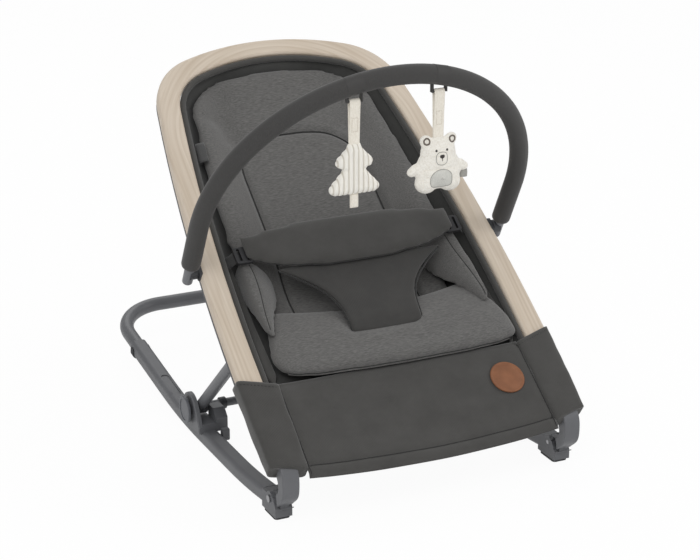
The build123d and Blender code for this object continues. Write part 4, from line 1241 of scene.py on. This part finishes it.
@dataclass
class LapBelt:
    """Padded twill belt over the lap, its crotch flap, and the webbing at the buckles."""

    rows: tuple[tuple[float, float, float, float, float], ...] = (
        (0.0, 205.0, 88.0, 13.5, 14.0), (70.0, 207.0, 84.0, 12.5, 13.5), (115.0, 209.0, 73.0, 11.0, 11.5),
        (140.0, 211.5, 60.0, 10.2, 9.5), (158.0, 214.0, 51.0, 10.0, 7.5), (167.0, 215.0, 43.0, 10.4, 5.0))
    belt_powers: Pair = (0.7, 0.9)
    stuffing: Stuffing = Stuffing(voxel=4.5, cap=2.5, frames=9, settle=22)
    flap_half: Pairs = ((50.0, 55.0), (75.0, 56.0), (100.0, 60.0), (125.0, 73.0), (150.0, 98.0), (176.0, 130.0))
    flap_level: Pairs = ((50.0, -4.0), (60.0, -1.0), (74.0, 1.5), (112.0, 1.5), (140.0, 1.0), (176.0, 0.0))
    flap_thick: float = 5.0
    flap_crown: float = 6.0
    flap_swell: float = 2.0
    piping_radius: float = 1.2
    flap_bow: float = 6.0
    flap_shift: float = 5.0
    webbing_width: float = 19.0
    webbing_thick: float = 1.8
    webbing: Pairs = (
        (150.0, 2.0), (160.0, 1.9), (172.0, 1.9), (176.5, 1.7), (179.0, 0.0), (182.0, -3.6), (184.5, -6.9),
        (187.0, -9.9))
    webbing_s: float = 207.0

    def build(self, finishes: Finishes) -> None:
        """Builds and dresses the belt, the flap and the webbing.

        Args:
            finishes: the materials.
        """
        sizes = [through([(row[0], row[k]) for row in self.rows]) for k in range(1, 5)]
        end = self.rows[-1][0]
        points, count, rows = [], 28, 61
        low_edge: list[Vector] = []
        for r in range(rows):
            x = end * sin(mix(-1.0, 1.0, r / (rows - 1)) * pi / 2)
            s, width, n, thick = (f(abs(x)) for f in sizes)
            for i in range(count):
                a, b = squared(2 * pi * i / count, self.belt_powers)
                points.append(SEAT.point(x, s + a * width / 2, n + b * thick / 2))
            low_edge.append(SEAT.point(x, s - width / 2, n - 1.0))
        belt = mesh_piece("lap_belt", points, tube_faces(rows, count))
        self.stuffing.swell(belt)
        dress(belt, finishes.twill, Body.SEAT, ["waist_belt"])
        piping = Sewing(belt, -SEAT.along).cord("lap_belt_piping", low_edge, self.piping_radius, 0.2)
        dress(piping, finishes.thread, Body.SEAT)
        self.build_flap(finishes)
        for name, side in SIDES:
            self.build_webbing(finishes, name, side)

    def build_flap(self, finishes: Finishes) -> None:
        """Builds the crotch flap with its piped sides.

        Args:
            finishes: the materials.
        """
        half, level = through(self.flap_half), through(self.flap_level)
        start, end = self.flap_half[0][0], self.flap_half[-1][0]

        def under(x: float, s: float) -> float:
            """Level of the flap's underside, a little higher in its middle."""
            return level(s) + self.flap_swell * (1 - (x / half(s)) ** 2) * ease((s - start) / 60)

        def front(x: float) -> float:
            """Lower edge, bowed towards the front."""
            return start + self.flap_bow * (x / self.flap_half[0][1]) ** 2

        def place(x: float, s: float, n: float) -> Vector:
            """Point of the flap, which hangs a little to the right."""
            return SEAT.point(x + self.flap_shift, s, n)

        pad = Pillow(half, front, lambda x: end, under, self.flap_thick, self.flap_crown, across=40, along=40,
                     point=place)
        flap = pad.build("crotch_flap_cloth")
        rounded(flap)
        # The flap's darker twill is painted shade from the belt above it.
        dress(flap, finishes.flap, Body.SEAT, ["crotch_flap"])
        for name, side in SIDES:
            line, last = [], 59
            for i in range(last + 1):
                s = mix(start + self.flap_bow + 1, end - 3, i / last)
                line.append(place(side * (half(s) + 0.4), s, level(s) + 0.4 * self.flap_thick))
            piping = sweep(name + "_flap_piping", line, round_section(self.piping_radius, 1.0, 8), SEAT.out)
            dress(piping, finishes.thread, Body.SEAT)

    def build_webbing(self, finishes: Finishes, name: str, side: int) -> None:
        """Builds the strap from the belt's end through the buckle to the sling's rim.

        Args:
            finishes: the materials.
            name: left or right.
            side: -1 or 1.
        """
        path = [SEAT.point(side * x, self.webbing_s, n) for x, n in self.webbing]
        strap = sweep(name + "_webbing", path, ribbon_section(self.webbing_width, self.webbing_thick), SEAT.out)
        dress(strap, finishes.webbing, Body.SEAT, [name + "_belt_webbing"])
        length = path_length(path)


@dataclass
class FrontCover:
    """Twill panel between the frame's lower arms, the sleeves over them, the leather badge and the side tag."""

    panel_top: float = -3.0
    panel_foot: float = -152.0
    panel_sag: float = 10.0
    panel_tuck: float = 1.4
    panel_level: float = -3.2
    panel_thick: float = 5.0
    hollow: float = 2.4
    edge_rise: float = 1.0
    pull: float = 1.4
    top_roll: float = 5.0
    foot_roll: float = 4.0
    hem: float = 17.0
    hem_half: float = 187.0
    side_seam: float = 2.5
    seam_step: float = 4.0
    seam_groove: Groove = Groove(1.8, 3.4)
    seam_radius: float = 0.9
    sleeve_foot: float = -133.0
    sleeve_top: float = 1.8
    sleeve_tilt: Pair = (0.295, 0.2)
    sleeve_inner: Pair = (189.0, 186.5)
    sleeve_outer: Pair = (241.6, 242.6)
    sleeve_front: float = 2.8
    sleeve_back: float = -24.8
    sleeve_powers: Pair = (0.32, 0.32)
    sleeve_end: Pairs = ((-0.011, 0.1), (-0.011, 0.5), (-0.010, 0.8), (-0.008, 0.92), (-0.004, 0.98))
    sleeve_rows: int = 40
    sleeve_count: int = 40
    sleeve_cloth: float = 1.6
    sleeve_fold: float = 0.7
    stitch: Thread = Thread(5.0, 3.2, 0.5)
    stitch_lift: float = 0.7
    stitch_drop: float = 6.0
    badge: tuple[float, float, float] = (147.0, -60.0, 25.5)
    badge_rings: Pairs = (
        (0.0, 2.5), (0.3, 2.6), (0.6, 2.6), (0.8, 2.5), (0.86, 1.9), (0.89, 2.4), (0.95, 2.3), (0.985, 1.8),
        (1.0, 0.9), (0.99, -0.4))
    badge_sink: float = 0.5
    tag: Pair = (-160.0, 404.0)
    tag_fold: Pairs = (
        (-6.5, -7.4), (-2.0, -5.9), (3.0, -5.2), (6.0, -5.4), (6.9, -6.1), (6.0, -6.8), (3.0, -6.8),
        (-2.0, -7.5), (-6.5, -8.8))
    tag_half: float = 17.0
    tag_lean: float = 0.09
    tag_wave: float = 0.3
    tag_thick: float = 0.6

    def build(self, finishes: Finishes) -> None:
        """Builds and dresses the cover and what is sewn to it.

        Args:
            finishes: the materials.
        """
        self.build_panel(finishes)
        for name, side in SIDES:
            self.build_sleeve(finishes, name, side)
        self.build_badge(finishes)
        self.build_tag(finishes)

    def sleeve_share(self, s: float) -> float:
        """Share of the sleeve's length at s, 0 at its foot."""
        return clamp((s - self.sleeve_foot) / (self.sleeve_top - self.sleeve_foot))

    def sleeve_width(self, share: float) -> Pair:
        """Middle and half-width of the sleeve at a share of its length."""
        inner, outer = (mix(*pair, clamp(share)) for pair in (self.sleeve_inner, self.sleeve_outer))
        return (inner + outer) / 2, (outer - inner) / 2

    def panel_half(self, s: float) -> float:
        """Half-width of the panel at s, tucked into the sleeves."""
        return mix(*self.sleeve_inner, self.sleeve_share(s)) + self.panel_tuck

    def drape(self, x: float, s: float) -> float:
        """Level of the panel's cloth, with slight pulls towards its seams."""
        u = abs(x) / self.panel_half(s)
        v = (s - self.panel_foot) / (self.panel_top - self.panel_foot)
        sag = -self.hollow * (1 - u * u) * sin(pi * clamp(v)) + self.edge_rise * ease((u - 0.82) / 0.18)
        pulls = self.pull * noise.noise(Vector((x / 95, s / 30, 3.1))) * (1 - u ** 6)
        roll = -self.top_roll * ease((v - 0.9) / 0.1) - self.foot_roll * ease((0.05 - v) / 0.05)
        return self.panel_level + sag + pulls + roll

    def bow(self, x: float, s: float) -> float:
        """How far the panel hangs down at x, most at its foot."""
        share = (self.panel_top - s) / (self.panel_top - self.panel_foot)
        return self.panel_sag * (1 - (x / self.panel_half(s)) ** 2) * share

    def build_panel(self, finishes: Finishes) -> None:
        """Builds the panel with its hem and side seams.

        Args:
            finishes: the materials.
        """
        columns, rows, points = 90, 56, []
        for r in range(rows):
            s = mix(self.panel_foot, self.panel_top, r / (rows - 1))
            for c in range(columns):
                x = self.panel_half(s) * (2 * c / (columns - 1) - 1)
                points.append(SEAT.point(x, s - self.bow(x, s), self.drape(x, s)))
        panel = mesh_piece("front_cover_panel", points, grid_faces(rows, columns))
        thicken(panel, self.panel_thick)
        sewing = Sewing(panel, SEAT.out)
        hem = self.panel_foot + self.hem
        ends = [(-self.hem_half, 0.0), (self.hem_half, 0.0)]
        foot_line = [SEAT.point(x, hem - self.bow(x, hem), 0) for x, _ in dense(ends, self.seam_step)]
        ends = [(self.panel_foot + 3, 0.0), (self.panel_top - 6, 0.0)]
        sides = {name: [SEAT.point(side * (self.panel_half(s) - self.side_seam), s, 0)
                        for s, _ in dense(ends, self.seam_step)] for name, side in SIDES}
        for line in (foot_line, *sides.values()):
            sewing.press(line, self.seam_groove)
        dress(panel, finishes.twill, Body.SEAT, ["front_panel"])
        lines = {"panel_hem_seam": foot_line, **{name + "_panel_seam": line for name, line in sides.items()}}
        seams = [sewing.cord(name, line, self.seam_radius, -0.1) for name, line in lines.items()]
        for seam in seams:
            dress(seam, finishes.thread, Body.SEAT)
        width = 2 * self.panel_half(self.panel_foot) * MM

    def build_sleeve(self, finishes: Finishes, name: str, side: int) -> None:
        """Builds the cloth sleeve over one lower arm.

        Args:
            finishes: the materials.
            name: left or right.
            side: -1 or 1.
        """
        middle_n = (self.sleeve_front + self.sleeve_back) / 2
        half_n = (self.sleeve_front - self.sleeve_back) / 2
        angles = [2 * pi * i / self.sleeve_count for i in range(self.sleeve_count + 1)]
        last = self.sleeve_rows - 1
        points: list[Vector] = []
        shape = list(self.sleeve_end) + [(r / last, 1.0) for r in range(self.sleeve_rows)]
        for share, size in shape:
            middle_x, half_x = self.sleeve_width(share)
            for angle in angles[:-1]:
                c, k = squared(angle, self.sleeve_powers)
                a, b = c * half_x, k * half_n
                s = mix(self.sleeve_foot + self.sleeve_tilt[1] * a, self.sleeve_top + self.sleeve_tilt[0] * a, share)
                fold = self.sleeve_fold * noise.noise(Vector((a / 16 + side * 7, s / 26, b / 16)))
                grow = size * (1 + fold / half_n)
                points.append(SEAT.point(side * (middle_x + a * grow), s, middle_n + b * grow))
        faces = grid_faces(len(shape), self.sleeve_count, ring=True)
        sleeve = mesh_piece(name + "_sleeve_cloth", points, faces)
        thicken(sleeve, self.sleeve_cloth)
        dress(sleeve, finishes.twill, Body.SEAT, [name + "_frame_sleeve"])
        hem_path, (middle_x, half_x) = [], self.sleeve_width(1.0)
        for angle in angles:
            c, k = squared(angle, self.sleeve_powers)
            a, b = c * (half_x + self.stitch_lift), k * (half_n + self.stitch_lift)
            s = self.sleeve_top + self.sleeve_tilt[0] * a - self.stitch_drop
            hem_path.append(SEAT.point(side * (middle_x + a), s, middle_n + b))
        hem = stitches(name + "_sleeve_stitches", hem_path, SEAT.out, self.stitch)
        dress(hem, finishes.thread, Body.SEAT)

    def build_badge(self, finishes: Finishes) -> None:
        """Builds the bare round leather badge with a pressed border.

        Args:
            finishes: the materials.
        """
        x0, s0, radius = self.badge
        count, points = 64, []
        for share, height in self.badge_rings:
            for i in range(count):
                angle = 2 * pi * i / count
                x, s = x0 + share * radius * cos(angle), s0 + share * radius * sin(angle)
                points.append(SEAT.point(x, s, height - self.badge_sink))
        disc = mesh_piece("round_leather_badge", points, grid_faces(len(self.badge_rings), count, ring=True))
        dress(disc, finishes.leather, Body.SEAT, ["leather_badge"])

    def build_tag(self, finishes: Finishes) -> None:
        """Builds the bare folded tag at the sling's rim.

        Args:
            finishes: the materials.
        """
        x0, s0 = self.tag
        rows = 9
        points = [SEAT.point(x0 + a + self.tag_lean * reach, s0 + reach, n + self.tag_wave * sin(reach / 6))
                  for reach in (mix(-self.tag_half, self.tag_half, r / (rows - 1)) for r in range(rows))
                  for a, n in self.tag_fold]
        tag = mesh_piece("folded_side_tag", points, grid_faces(rows, len(self.tag_fold)))
        thicken(tag, self.tag_thick)
        dress(tag, finishes.tag, Body.SEAT, ["side_tag"])
        flat = (2 * self.tag_half * MM, fold_length(self.tag_fold))


@dataclass
class ToyBar:
    """Foam-covered arch, with the places its toys hang from. Sizes in millimetres."""

    foot_y: float = -87.54
    foot_z: float = 288.04
    lean: float = 118.0
    half: float = 247.0
    leg: float = 72.0
    foam: float = 13.8
    leg_marks: tuple[float, ...] = (0.0, 1.5, 4.0, 10.0, 24.0, 40.0, 56.0, 70.0)
    end_girths: tuple[float, ...] = (0.84, 0.95, 1.0)
    toy_x: float = 63.5
    drop: float = 22.0

    def point(self, x: float, up: float) -> Vector:
        """Place in the arch's plane, in metres."""
        a = radians(self.lean)
        return Vector((x, self.foot_y + up * cos(a), self.foot_z + up * sin(a))) * MM

    def hook(self, side: int) -> Vector:
        """Middle of the small rod that a toy hangs from."""
        spot = self.point(side * self.toy_x, self.leg + sqrt(self.half ** 2 - self.toy_x ** 2))
        return spot - Vector((0, 0, self.drop * MM))

    def build(self, finishes: Finishes) -> None:
        """Builds and dresses the foam sleeve.

        Args:
            finishes: the materials.
        """
        path, steps = [self.point(-self.half, up) for up in self.leg_marks], 80
        for i in range(1, steps):
            angle = pi * (1 - i / steps)
            path.append(self.point(self.half * cos(angle), self.leg + self.half * sin(angle)))
        path += [self.point(self.half, up) for up in reversed(self.leg_marks)]
        last = len(path) - 1

        def girth(share: float) -> float:
            """Size of the sleeve, rounded in at its ends."""
            i = round(min(share, 1 - share) * last)
            return self.end_girths[min(i, len(self.end_girths) - 1)]

        sleeve = sweep("toy_bar_foam", path, round_section(self.foam, 1.0, 28), Vector((1, 0, 0)), girth)
        dress(sleeve, finishes.foam, Body.TOY_BAR, ["foam_sleeve"])


@dataclass
class HangingToy:
    """A stuffed toy on a folded ribbon. Sizes in millimetres, measured from the rod it hangs from."""

    bar: ToyBar
    side: int
    body: Body
    prefix: str
    strap_width: float = 15.8
    strap_thick: float = 1.1
    strap_length: float = 60.0
    box_half: float = 4.2
    box_ends: Pair = (18.0, 37.0)
    stitch: Thread = Thread(2.4, 1.9, 0.3)

    def point(self, x: float, z: float, out: float) -> Vector:
        """Place in the shared frame.

        Args:
            x, z: across and up, from the rod.
            out: towards the front.

        Returns:
            The point in metres.
        """
        return self.bar.hook(self.side) + Vector((x, -out, z)) * MM

    @property
    def front(self) -> Vector:
        """Direction the toy faces."""
        return Vector((0, -1, 0))

    def build_strap(self, finishes: Finishes) -> None:
        """Builds the folded ribbon with its box of stitches.

        Args:
            finishes: the materials.
        """
        low = -self.strap_length
        rise = [(low, 0.9), (low + 8, 1.0), (low + 17, 1.5), (-11.0, 3.0), (-4.0, 3.6), (0.0, 3.1), (2.2, 1.9)]
        loop = rise + [(3.0, 0.0)] + [(z, -out) for z, out in reversed(rise)]
        path = [self.point(0, z, out) for z, out in loop]
        strap = sweep(self.prefix + "_ribbon", path, ribbon_section(self.strap_width, self.strap_thick), self.front)
        dress(strap, finishes.ribbon, self.body, [self.prefix + "_strap"])
        half, (foot, head) = self.box_half, (low + end for end in self.box_ends)
        box = [(-half, foot), (half, foot), (half, head), (-half, head), (-half, foot)]
        row = [self.point(x, z, 2.0) for x, z in dense(box, 1.0)]
        row = Sewing(strap, self.front).laid(row, 0.1)
        sewn = stitches(self.prefix + "_ribbon_stitches", row, self.front, self.stitch)
        dress(sewn, finishes.beige, self.body)
        length = path_length(path)


@dataclass
class TreeToy(HangingToy):
    """Stuffed two-tier tree in ribbed cloth, with a trunk."""

    outline: Pairs = (
        (0.0, 28.5), (2.2, 34.0), (6.5, 36.6), (11.5, 36.0), (15.5, 32.8), (22.5, 26.0), (30.0, 19.5), (35.0, 16.8),
        (36.8, 18.5), (39.0, 24.0), (42.5, 27.3), (47.0, 27.0), (50.5, 24.4), (56.0, 18.5), (62.5, 12.5), (70.0, 9.0))
    thick: float = 16.0
    crown: float = 10.0
    sit: float = 0.5
    rib_pitch: float = 7.3
    rib_height: float = 1.0
    trunk: tuple[float, float, float] = (12.0, 20.0, 8.0)
    trunk_crown: float = 3.5
    hang: float = 59.2

    def build(self, finishes: Finishes) -> None:
        """Builds and dresses the tree.

        Args:
            finishes: the materials.
        """
        self.build_strap(finishes)
        height = self.outline[-1][0]
        foot = -self.hang - height

        def place(x: float, s: float, n: float) -> Vector:
            """Point of the tree: across, up from its foot and out from its middle."""
            return self.point(x, foot + s, n)

        pad = Pillow(through(self.outline), lambda x: 0.0, lambda x: height, lambda x, s: -self.thick / 2, self.thick,
                     self.crown, across=56, along=72, sit=self.sit, point=place)
        tree = pad.build("ribbed_tree")
        rounded(tree)
        middle = self.point(0, 0, 0).x
        moves = [v.normal * (self.rib_height * MM * cos(2 * pi * (v.co.x - middle) / MM / self.rib_pitch)
                             * abs(v.normal.y)) for v in tree.data.vertices]
        for vertex, move in zip(tree.data.vertices, moves):
            vertex.co += move
        tree.data.update()
        # The tree's grooves get painted shade from the ribbed finish.
        ribbed = RibbedFinish("cream_ribbed_painted_shade", paint(206, 200, 188), paint(241, 238, 230), self.rib_pitch * MM, middle)
        dress(tree, ribbed.material(), self.body, ["tree_body"])
        width, length, deep = self.trunk

        def place_trunk(x: float, s: float, n: float) -> Vector:
            """Point of the trunk: across, up from its foot and out from its middle."""
            return self.point(x, foot - length + s, n)

        post = Pillow(lambda s: width / 2, lambda x: 0.0, lambda x: length + 1, lambda x, s: -deep / 2, deep,
                      self.trunk_crown, across=16, along=20, sit=self.sit, point=place_trunk)
        trunk = post.build("tree_trunk_tab")
        dress(trunk, finishes.ribbon, self.body, ["tree_trunk"])


@dataclass(frozen=True)
class SewnShape:
    """Outline of what is sewn on a toy: middle and half-sizes, from the toy's top, in millimetres."""

    x: float
    z: float
    half_x: float
    half_z: float
    powers: Pair = (1.0, 1.0)


@dataclass
class BearToy(HangingToy):
    """Stuffed animal: pear-shaped body, ears, arms and feet, with a sewn face and belly patch."""

    lumps: tuple[tuple[float, ...], ...] = (
        (0, -22, 27, 13, 22), (0, -38, 32, 13.5, 22), (0, -51, 35, 14, 21.5), (-18, -65, 17, 12, 15),
        (18, -65, 17, 12, 15), (-19.5, -5, 9.6, 5, 9.6), (19.5, -5, 9.6, 5, 9.6), (-34, -43, 8.5, 6.5, 7.5),
        (34, -43, 8.5, 6.5, 7.5),
        (-40, -47, 7.6, 6, 6.8), (40, -47, 7.6, 6, 6.8), (0, -62, 15, 12, 13))
    drop: float = 64.2
    voxel: float = 1.8
    nap: float = 0.35
    belly_seam: Pairs = ((-26.0, -70.0), (-26.0, -44.0), (26.0, -44.0), (26.0, -70.0))
    belly_groove: Groove = Groove(0.9, 1.4)
    muzzle: SewnShape = SewnShape(0.0, -28.5, 8.5, 9.0, (0.75, 0.75))
    patch: SewnShape = SewnShape(0.0, -57.0, 16.5, 12.8, (1.0, 0.5))
    left_eye: SewnShape = SewnShape(-8.2, -17.0, 1.7, 1.7)
    right_eye: SewnShape = SewnShape(8.2, -17.0, 1.7, 1.7)
    nose: SewnShape = SewnShape(0.0, -25.6, 3.8, 2.8, (0.7, 1.2))
    left_ear: SewnShape = SewnShape(-19.5, -4.5, 4.2, 4.2)
    right_ear: SewnShape = SewnShape(19.5, -4.5, 4.2, 4.2)
    mouth: tuple[float, ...] = (-28.0, -29.3, -30.6, -31.8)
    edge_radius: float = 0.5
    ear_radius: float = 1.2
    tab_fold: Pairs = (
        (32.5, -1.2), (38.0, 1.0), (43.0, 1.6), (45.2, 0.9), (45.2, 0.1), (43.0, -0.4), (38.0, -0.9), (32.5, -2.4))
    tab_place: float = 52.0
    tab_high: float = 11.0
    tab_wave: float = 0.6
    tab_thick: float = 0.6

    def ring(self, shape: SewnShape, share: float, count: int) -> list[Vector]:
        """Points of a closed line in front of the toy.

        Args:
            shape: the outline, with its powers above and below the middle.
            share: size of the line over the outline's.
            count: number of points.

        Returns:
            The points.
        """
        points = []
        for i in range(count):
            angle = 2 * pi * i / count
            power = shape.powers[0 if sin(angle) > 0 else 1]
            a, b = squared(angle, (power, power))
            points.append(self.point(shape.x + share * shape.half_x * a,
                                     -self.drop + shape.z + share * shape.half_z * b, 0))
        return points

    def applique(self, name: str, base: bpy.types.Object, shape: SewnShape, lift: float) -> bpy.types.Object:
        """A patch that follows a stuffed surface.

        Args:
            name: name of the piece.
            base: the stuffed piece.
            shape: its outline.
            lift: height of its middle over the surface.

        Returns:
            The object.
        """
        sewing = Sewing(base, self.front)
        shares, count, points = (0.02, 0.3, 0.55, 0.75, 0.9, 1.0), 36, []
        for share in shares:
            height = lift * sqrt(max(0.0, 1 - share ** 2)) - 0.15 * share
            points += sewing.laid(self.ring(shape, share, count), height)
        faces = grid_faces(len(shares), count, ring=True)
        faces.append(list(range(count)))
        patch = mesh_piece(name, points, faces)
        flat = patch.modifiers.new("calm", "LAPLACIANSMOOTH")
        flat.iterations, flat.lambda_factor, flat.lambda_border = 3, 0.4, 0.0
        take_mesh(patch, solved(patch))
        return patch

    def outline_seam(self, name: str, base: bpy.types.Object, shape: SewnShape, radius: float) -> bpy.types.Object:
        """A sewn closed line on a stuffed surface.

        Args:
            name: name of the piece.
            base: the stuffed piece.
            shape: the line's outline.
            radius: radius of the thread.

        Returns:
            The object.
        """
        line = self.ring(shape, 1.0, 60)
        path = Sewing(base, self.front).laid(line + line[:1], 0.1)
        return sweep(name, path, round_section(radius, 1.0, 6), self.front)

    def build(self, finishes: Finishes) -> None:
        """Builds and dresses the animal.

        Args:
            finishes: the materials.
        """
        self.build_strap(finishes)
        points: list[Vector] = []
        faces: list[list[int]] = []
        rows, count = 15, 24
        for x, z, a, b, c in self.lumps:
            start = len(points)
            for r in range(rows):
                polar = pi * (r + 0.02) / (rows - 0.96)
                for i in range(count):
                    angle = 2 * pi * i / count
                    points.append(self.point(x + a * sin(polar) * cos(angle), z - self.drop + c * cos(polar),
                                             -b * sin(polar) * sin(angle)))
            faces += [list(reversed(f)) for f in grid_faces(rows, count, ring=True, start=start)]
            faces += tube_faces(rows, count, start)[-2:]
        bear = mesh_piece("plush_animal", points, faces)
        join = bear.modifiers.new("one_skin", "REMESH")
        join.mode = "VOXEL"
        join.voxel_size = self.voxel * MM
        soft = bear.modifiers.new("soft", "SMOOTH")
        soft.factor, soft.iterations = 0.6, 12
        take_mesh(bear, solved(bear))
        for vertex in bear.data.vertices:
            vertex.co += vertex.normal * (self.nap * MM * noise.noise(vertex.co * 420))
        bear.data.update()
        dress(bear, finishes.cream, self.body, ["bear_body"])
        self.build_face(finishes, bear)

    def build_face(self, finishes: Finishes, bear: bpy.types.Object) -> None:
        """Sews the face, ear rings and belly patch on.

        Args:
            finishes: the materials.
            bear: the stuffed body.
        """
        top = -self.drop
        seam = [self.point(x, top + z, 0) for x, z in dense(self.belly_seam, 1.5)]
        sewing = Sewing(bear, self.front)
        sewing.press(seam, self.belly_groove)
        dress(sewing.cord("plush_belly_seam", seam, 0.25, -0.1), finishes.ribbon, self.body)
        muzzle = self.applique("plush_muzzle", bear, self.muzzle, 1.6)
        dress(muzzle, finishes.cream, self.body, ["bear_muzzle"])
        patch = self.applique("plush_belly_patch", bear, self.patch, 1.2)
        dress(patch, finishes.patch, self.body, ["bear_patch"])
        dark = [self.applique("plush_left_eye", bear, self.left_eye, 1.1),
                self.applique("plush_right_eye", bear, self.right_eye, 1.1),
                self.applique("plush_nose", muzzle, self.nose, 0.9)]
        mouth = [self.point(0, top + z, 0) for z in self.mouth]
        dark.append(Sewing(muzzle, self.front).cord("plush_mouth", mouth, 0.5, 0.1))
        for piece in dark:
            dress(piece, finishes.dark_sewn, self.body)
        for name, shape, radius, thread in (
                ("plush_patch_edge", self.patch, self.edge_radius, finishes.tab),
                ("plush_muzzle_edge", self.muzzle, self.edge_radius, finishes.tab),
                ("plush_left_ear_ring", self.left_ear, self.ear_radius, finishes.sewn),
                ("plush_right_ear_ring", self.right_ear, self.ear_radius, finishes.sewn)):
            dress(self.outline_seam(name, bear, shape, radius), thread, self.body)
        self.build_tab(finishes)

    def build_tab(self, finishes: Finishes) -> None:
        """Builds the small bare folded tab in the side seam.

        Args:
            finishes: the materials.
        """
        rows = 7
        points = [self.point(x + self.tab_wave * sin(3 * r / (rows - 1)),
                             -self.drop - self.tab_place - self.tab_high * r / (rows - 1), out)
                  for r in range(rows) for x, out in self.tab_fold]
        tab = mesh_piece("plush_side_tab", points, grid_faces(rows, len(self.tab_fold)))
        thicken(tab, self.tab_thick)
        dress(tab, finishes.tab, self.body)
        flat = (self.tab_high * MM, fold_length(self.tab_fold))


@dataclass
class HardParts:
    """Finishes of the CAD pieces that stay: wood, base, legs, buttons and fittings."""

    both: dict[str, str] = field(default_factory=lambda: {
        "rocker_rail": "base", "front_foot": "base", "hinge_housing": "base", "front_bracket": "base",
        "rocking_stop": "base", "release_button": "button", "leg_tube": "tube", "foot_pad": "rubber",
        "rear_pad": "rubber", "leg_collar": "dark", "bar_mount": "dark", "bar_hub": "dark",
        "belt_buckle": "buckle", "toy_loop": "clip"})
    single: dict[str, str] = field(default_factory=lambda: {
        "wood_frame": "wood", "frame_back": "dark", "rear_base_tube": "tube", "crossbar": "tube",
        "front_pivot_pins": "steel", "leg_pivot_pins": "steel", "rail_screws": "steel", "bar_tube": "bar",
        "bar_plugs": "bar"})

    def dress(self, finishes: Finishes) -> None:
        """Gives each CAD piece its material.

        Args:
            finishes: the materials.
        """
        wanted = dict(self.single)
        for name, finish in self.both.items():
            wanted["left_" + name] = wanted["right_" + name] = finish
        for name, finish in wanted.items():
            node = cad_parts[name]
            node.data.materials.clear()
            node.data.materials.append(getattr(finishes, finish))
            LOG.info("finish %s on %s", finish, name)


@dataclass
class Studio:
    """White floor and background, soft lamps and the camera at the photograph's angle."""

    camera_at: tuple[float, float, float] = (-1.22293, -2.68267, 1.27284)
    camera_tilt: float = 70.0
    camera_turn: float = -25.2173
    lens: float = 108.0
    sensor: float = 36.0
    floor_half: float = 6.0
    floor_level: float = -0.0005
    floor_glow: float = 0.95
    fill: float = 0.5
    lamps: tuple[tuple[str, tuple[float, float, float], tuple[float, float, float], float, float], ...] = (
        ("key", (-1.6, -2.2, 2.9), (0.0, -0.05, 0.25), 2.2, 47.0),
        ("side", (2.4, -1.2, 2.0), (0.0, 0.0, 0.2), 1.8, 20.0),
        ("rear", (0.6, 2.4, 2.6), (0.0, 0.1, 0.3), 2.0, 23.0))

    def build(self) -> None:
        """Builds the floor, the world, the lamps and the camera."""
        self.build_floor()
        self.build_world()
        for name, spot, aim, size, power in self.lamps:
            data = bpy.data.lights.new(name, "AREA")
            data.size, data.energy = size, power
            lamp = bpy.data.objects.new(name, data)
            lamp.location = spot
            lamp.rotation_euler = (Vector(aim) - Vector(spot)).to_track_quat("-Z", "Y").to_euler()
            bpy.context.scene.collection.objects.link(lamp)
        data = bpy.data.cameras.new("camera")
        data.lens, data.sensor_width, data.sensor_fit = self.lens, self.sensor, "HORIZONTAL"
        camera = bpy.data.objects.new("camera", data)
        camera.location = self.camera_at
        camera.rotation_euler = Euler((radians(self.camera_tilt), 0, radians(self.camera_turn)))
        bpy.context.scene.collection.objects.link(camera)
        bpy.context.scene.camera = camera
        bpy.context.scene.view_settings.view_transform = "Standard"

    def seen(self, kit: Nodes) -> bpy.types.NodeSocket:
        """Factor that is 1 for rays that show the background."""
        rays = kit.add("LightPath").outputs
        first = kit.calc("MAXIMUM", rays["Is Camera Ray"], rays["Is Glossy Ray"])
        return kit.calc("MAXIMUM", first, rays["Is Transmission Ray"])

    def build_floor(self) -> None:
        """Builds the pale floor, which shows white and keeps a soft shadow."""
        h = self.floor_half
        corners = [Vector((x, y, self.floor_level)) for x, y in ((-h, -h), (h, -h), (h, h), (-h, h))]
        floor = mesh_piece("floor", corners, [[0, 1, 2, 3]])
        kit = Nodes("pale_floor")
        grain = kit.add("TexNoise", Vector=kit.place((3, 3, 3)), Scale=1.0)
        colour = kit.ramp(grain.outputs[0], ((0.3, paint(250, 250, 250)), (0.7, paint(253, 253, 253))))
        kit.finish(colour, Roughness=0.9, Specular_IOR_Level=0.0)
        glow = kit.add("Emission", Color=(1, 1, 1, 1), Strength=1.0)
        share = kit.calc("MULTIPLY", self.seen(kit), self.floor_glow)
        blend = kit.add("MixShader")
        for socket, value in enumerate((share, kit.shader.outputs[0], glow.outputs[0])):
            kit.feed(blend, str(socket), value)
        kit.tree.links.new(blend.outputs[0], kit.tree.nodes["Material Output"].inputs["Surface"])
        floor.data.materials.append(kit.material)

    def build_world(self) -> None:
        """Builds an even white surround, full white where it is seen."""
        world = bpy.data.worlds.new("surround")
        world.use_nodes = True
        bpy.context.scene.world = world
        tree = world.node_tree
        back = tree.nodes["Background"]
        back.inputs["Color"].default_value = (1, 1, 1, 1)
        path = tree.nodes.new("ShaderNodeLightPath")
        ranged = tree.nodes.new("ShaderNodeMapRange")
        ranged.inputs["To Min"].default_value = self.fill
        ranged.inputs["To Max"].default_value = 1.0
        tree.links.new(path.outputs["Is Camera Ray"], ranged.inputs["Value"])
        tree.links.new(ranged.outputs[0], back.inputs["Strength"])


def main() -> None:
    """Builds the sub-assemblies in order."""
    logging.basicConfig(level=logging.INFO, format="%(message)s")
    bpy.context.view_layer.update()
    finishes = Finishes()
    HardParts().dress(finishes)
    bar = ToyBar()
    sling = Sling()
    for part in (sling, Backrest(), SeatCushion(sling), LapBelt(), FrontCover(), bar,
                 TreeToy(bar, -1, Body.TREE, "tree"), BearToy(bar, 1, Body.BEAR, "bear", strap_length=65.0)):
        part.build(finishes)
    Studio().build()


if __name__ == "__main__":
    main()
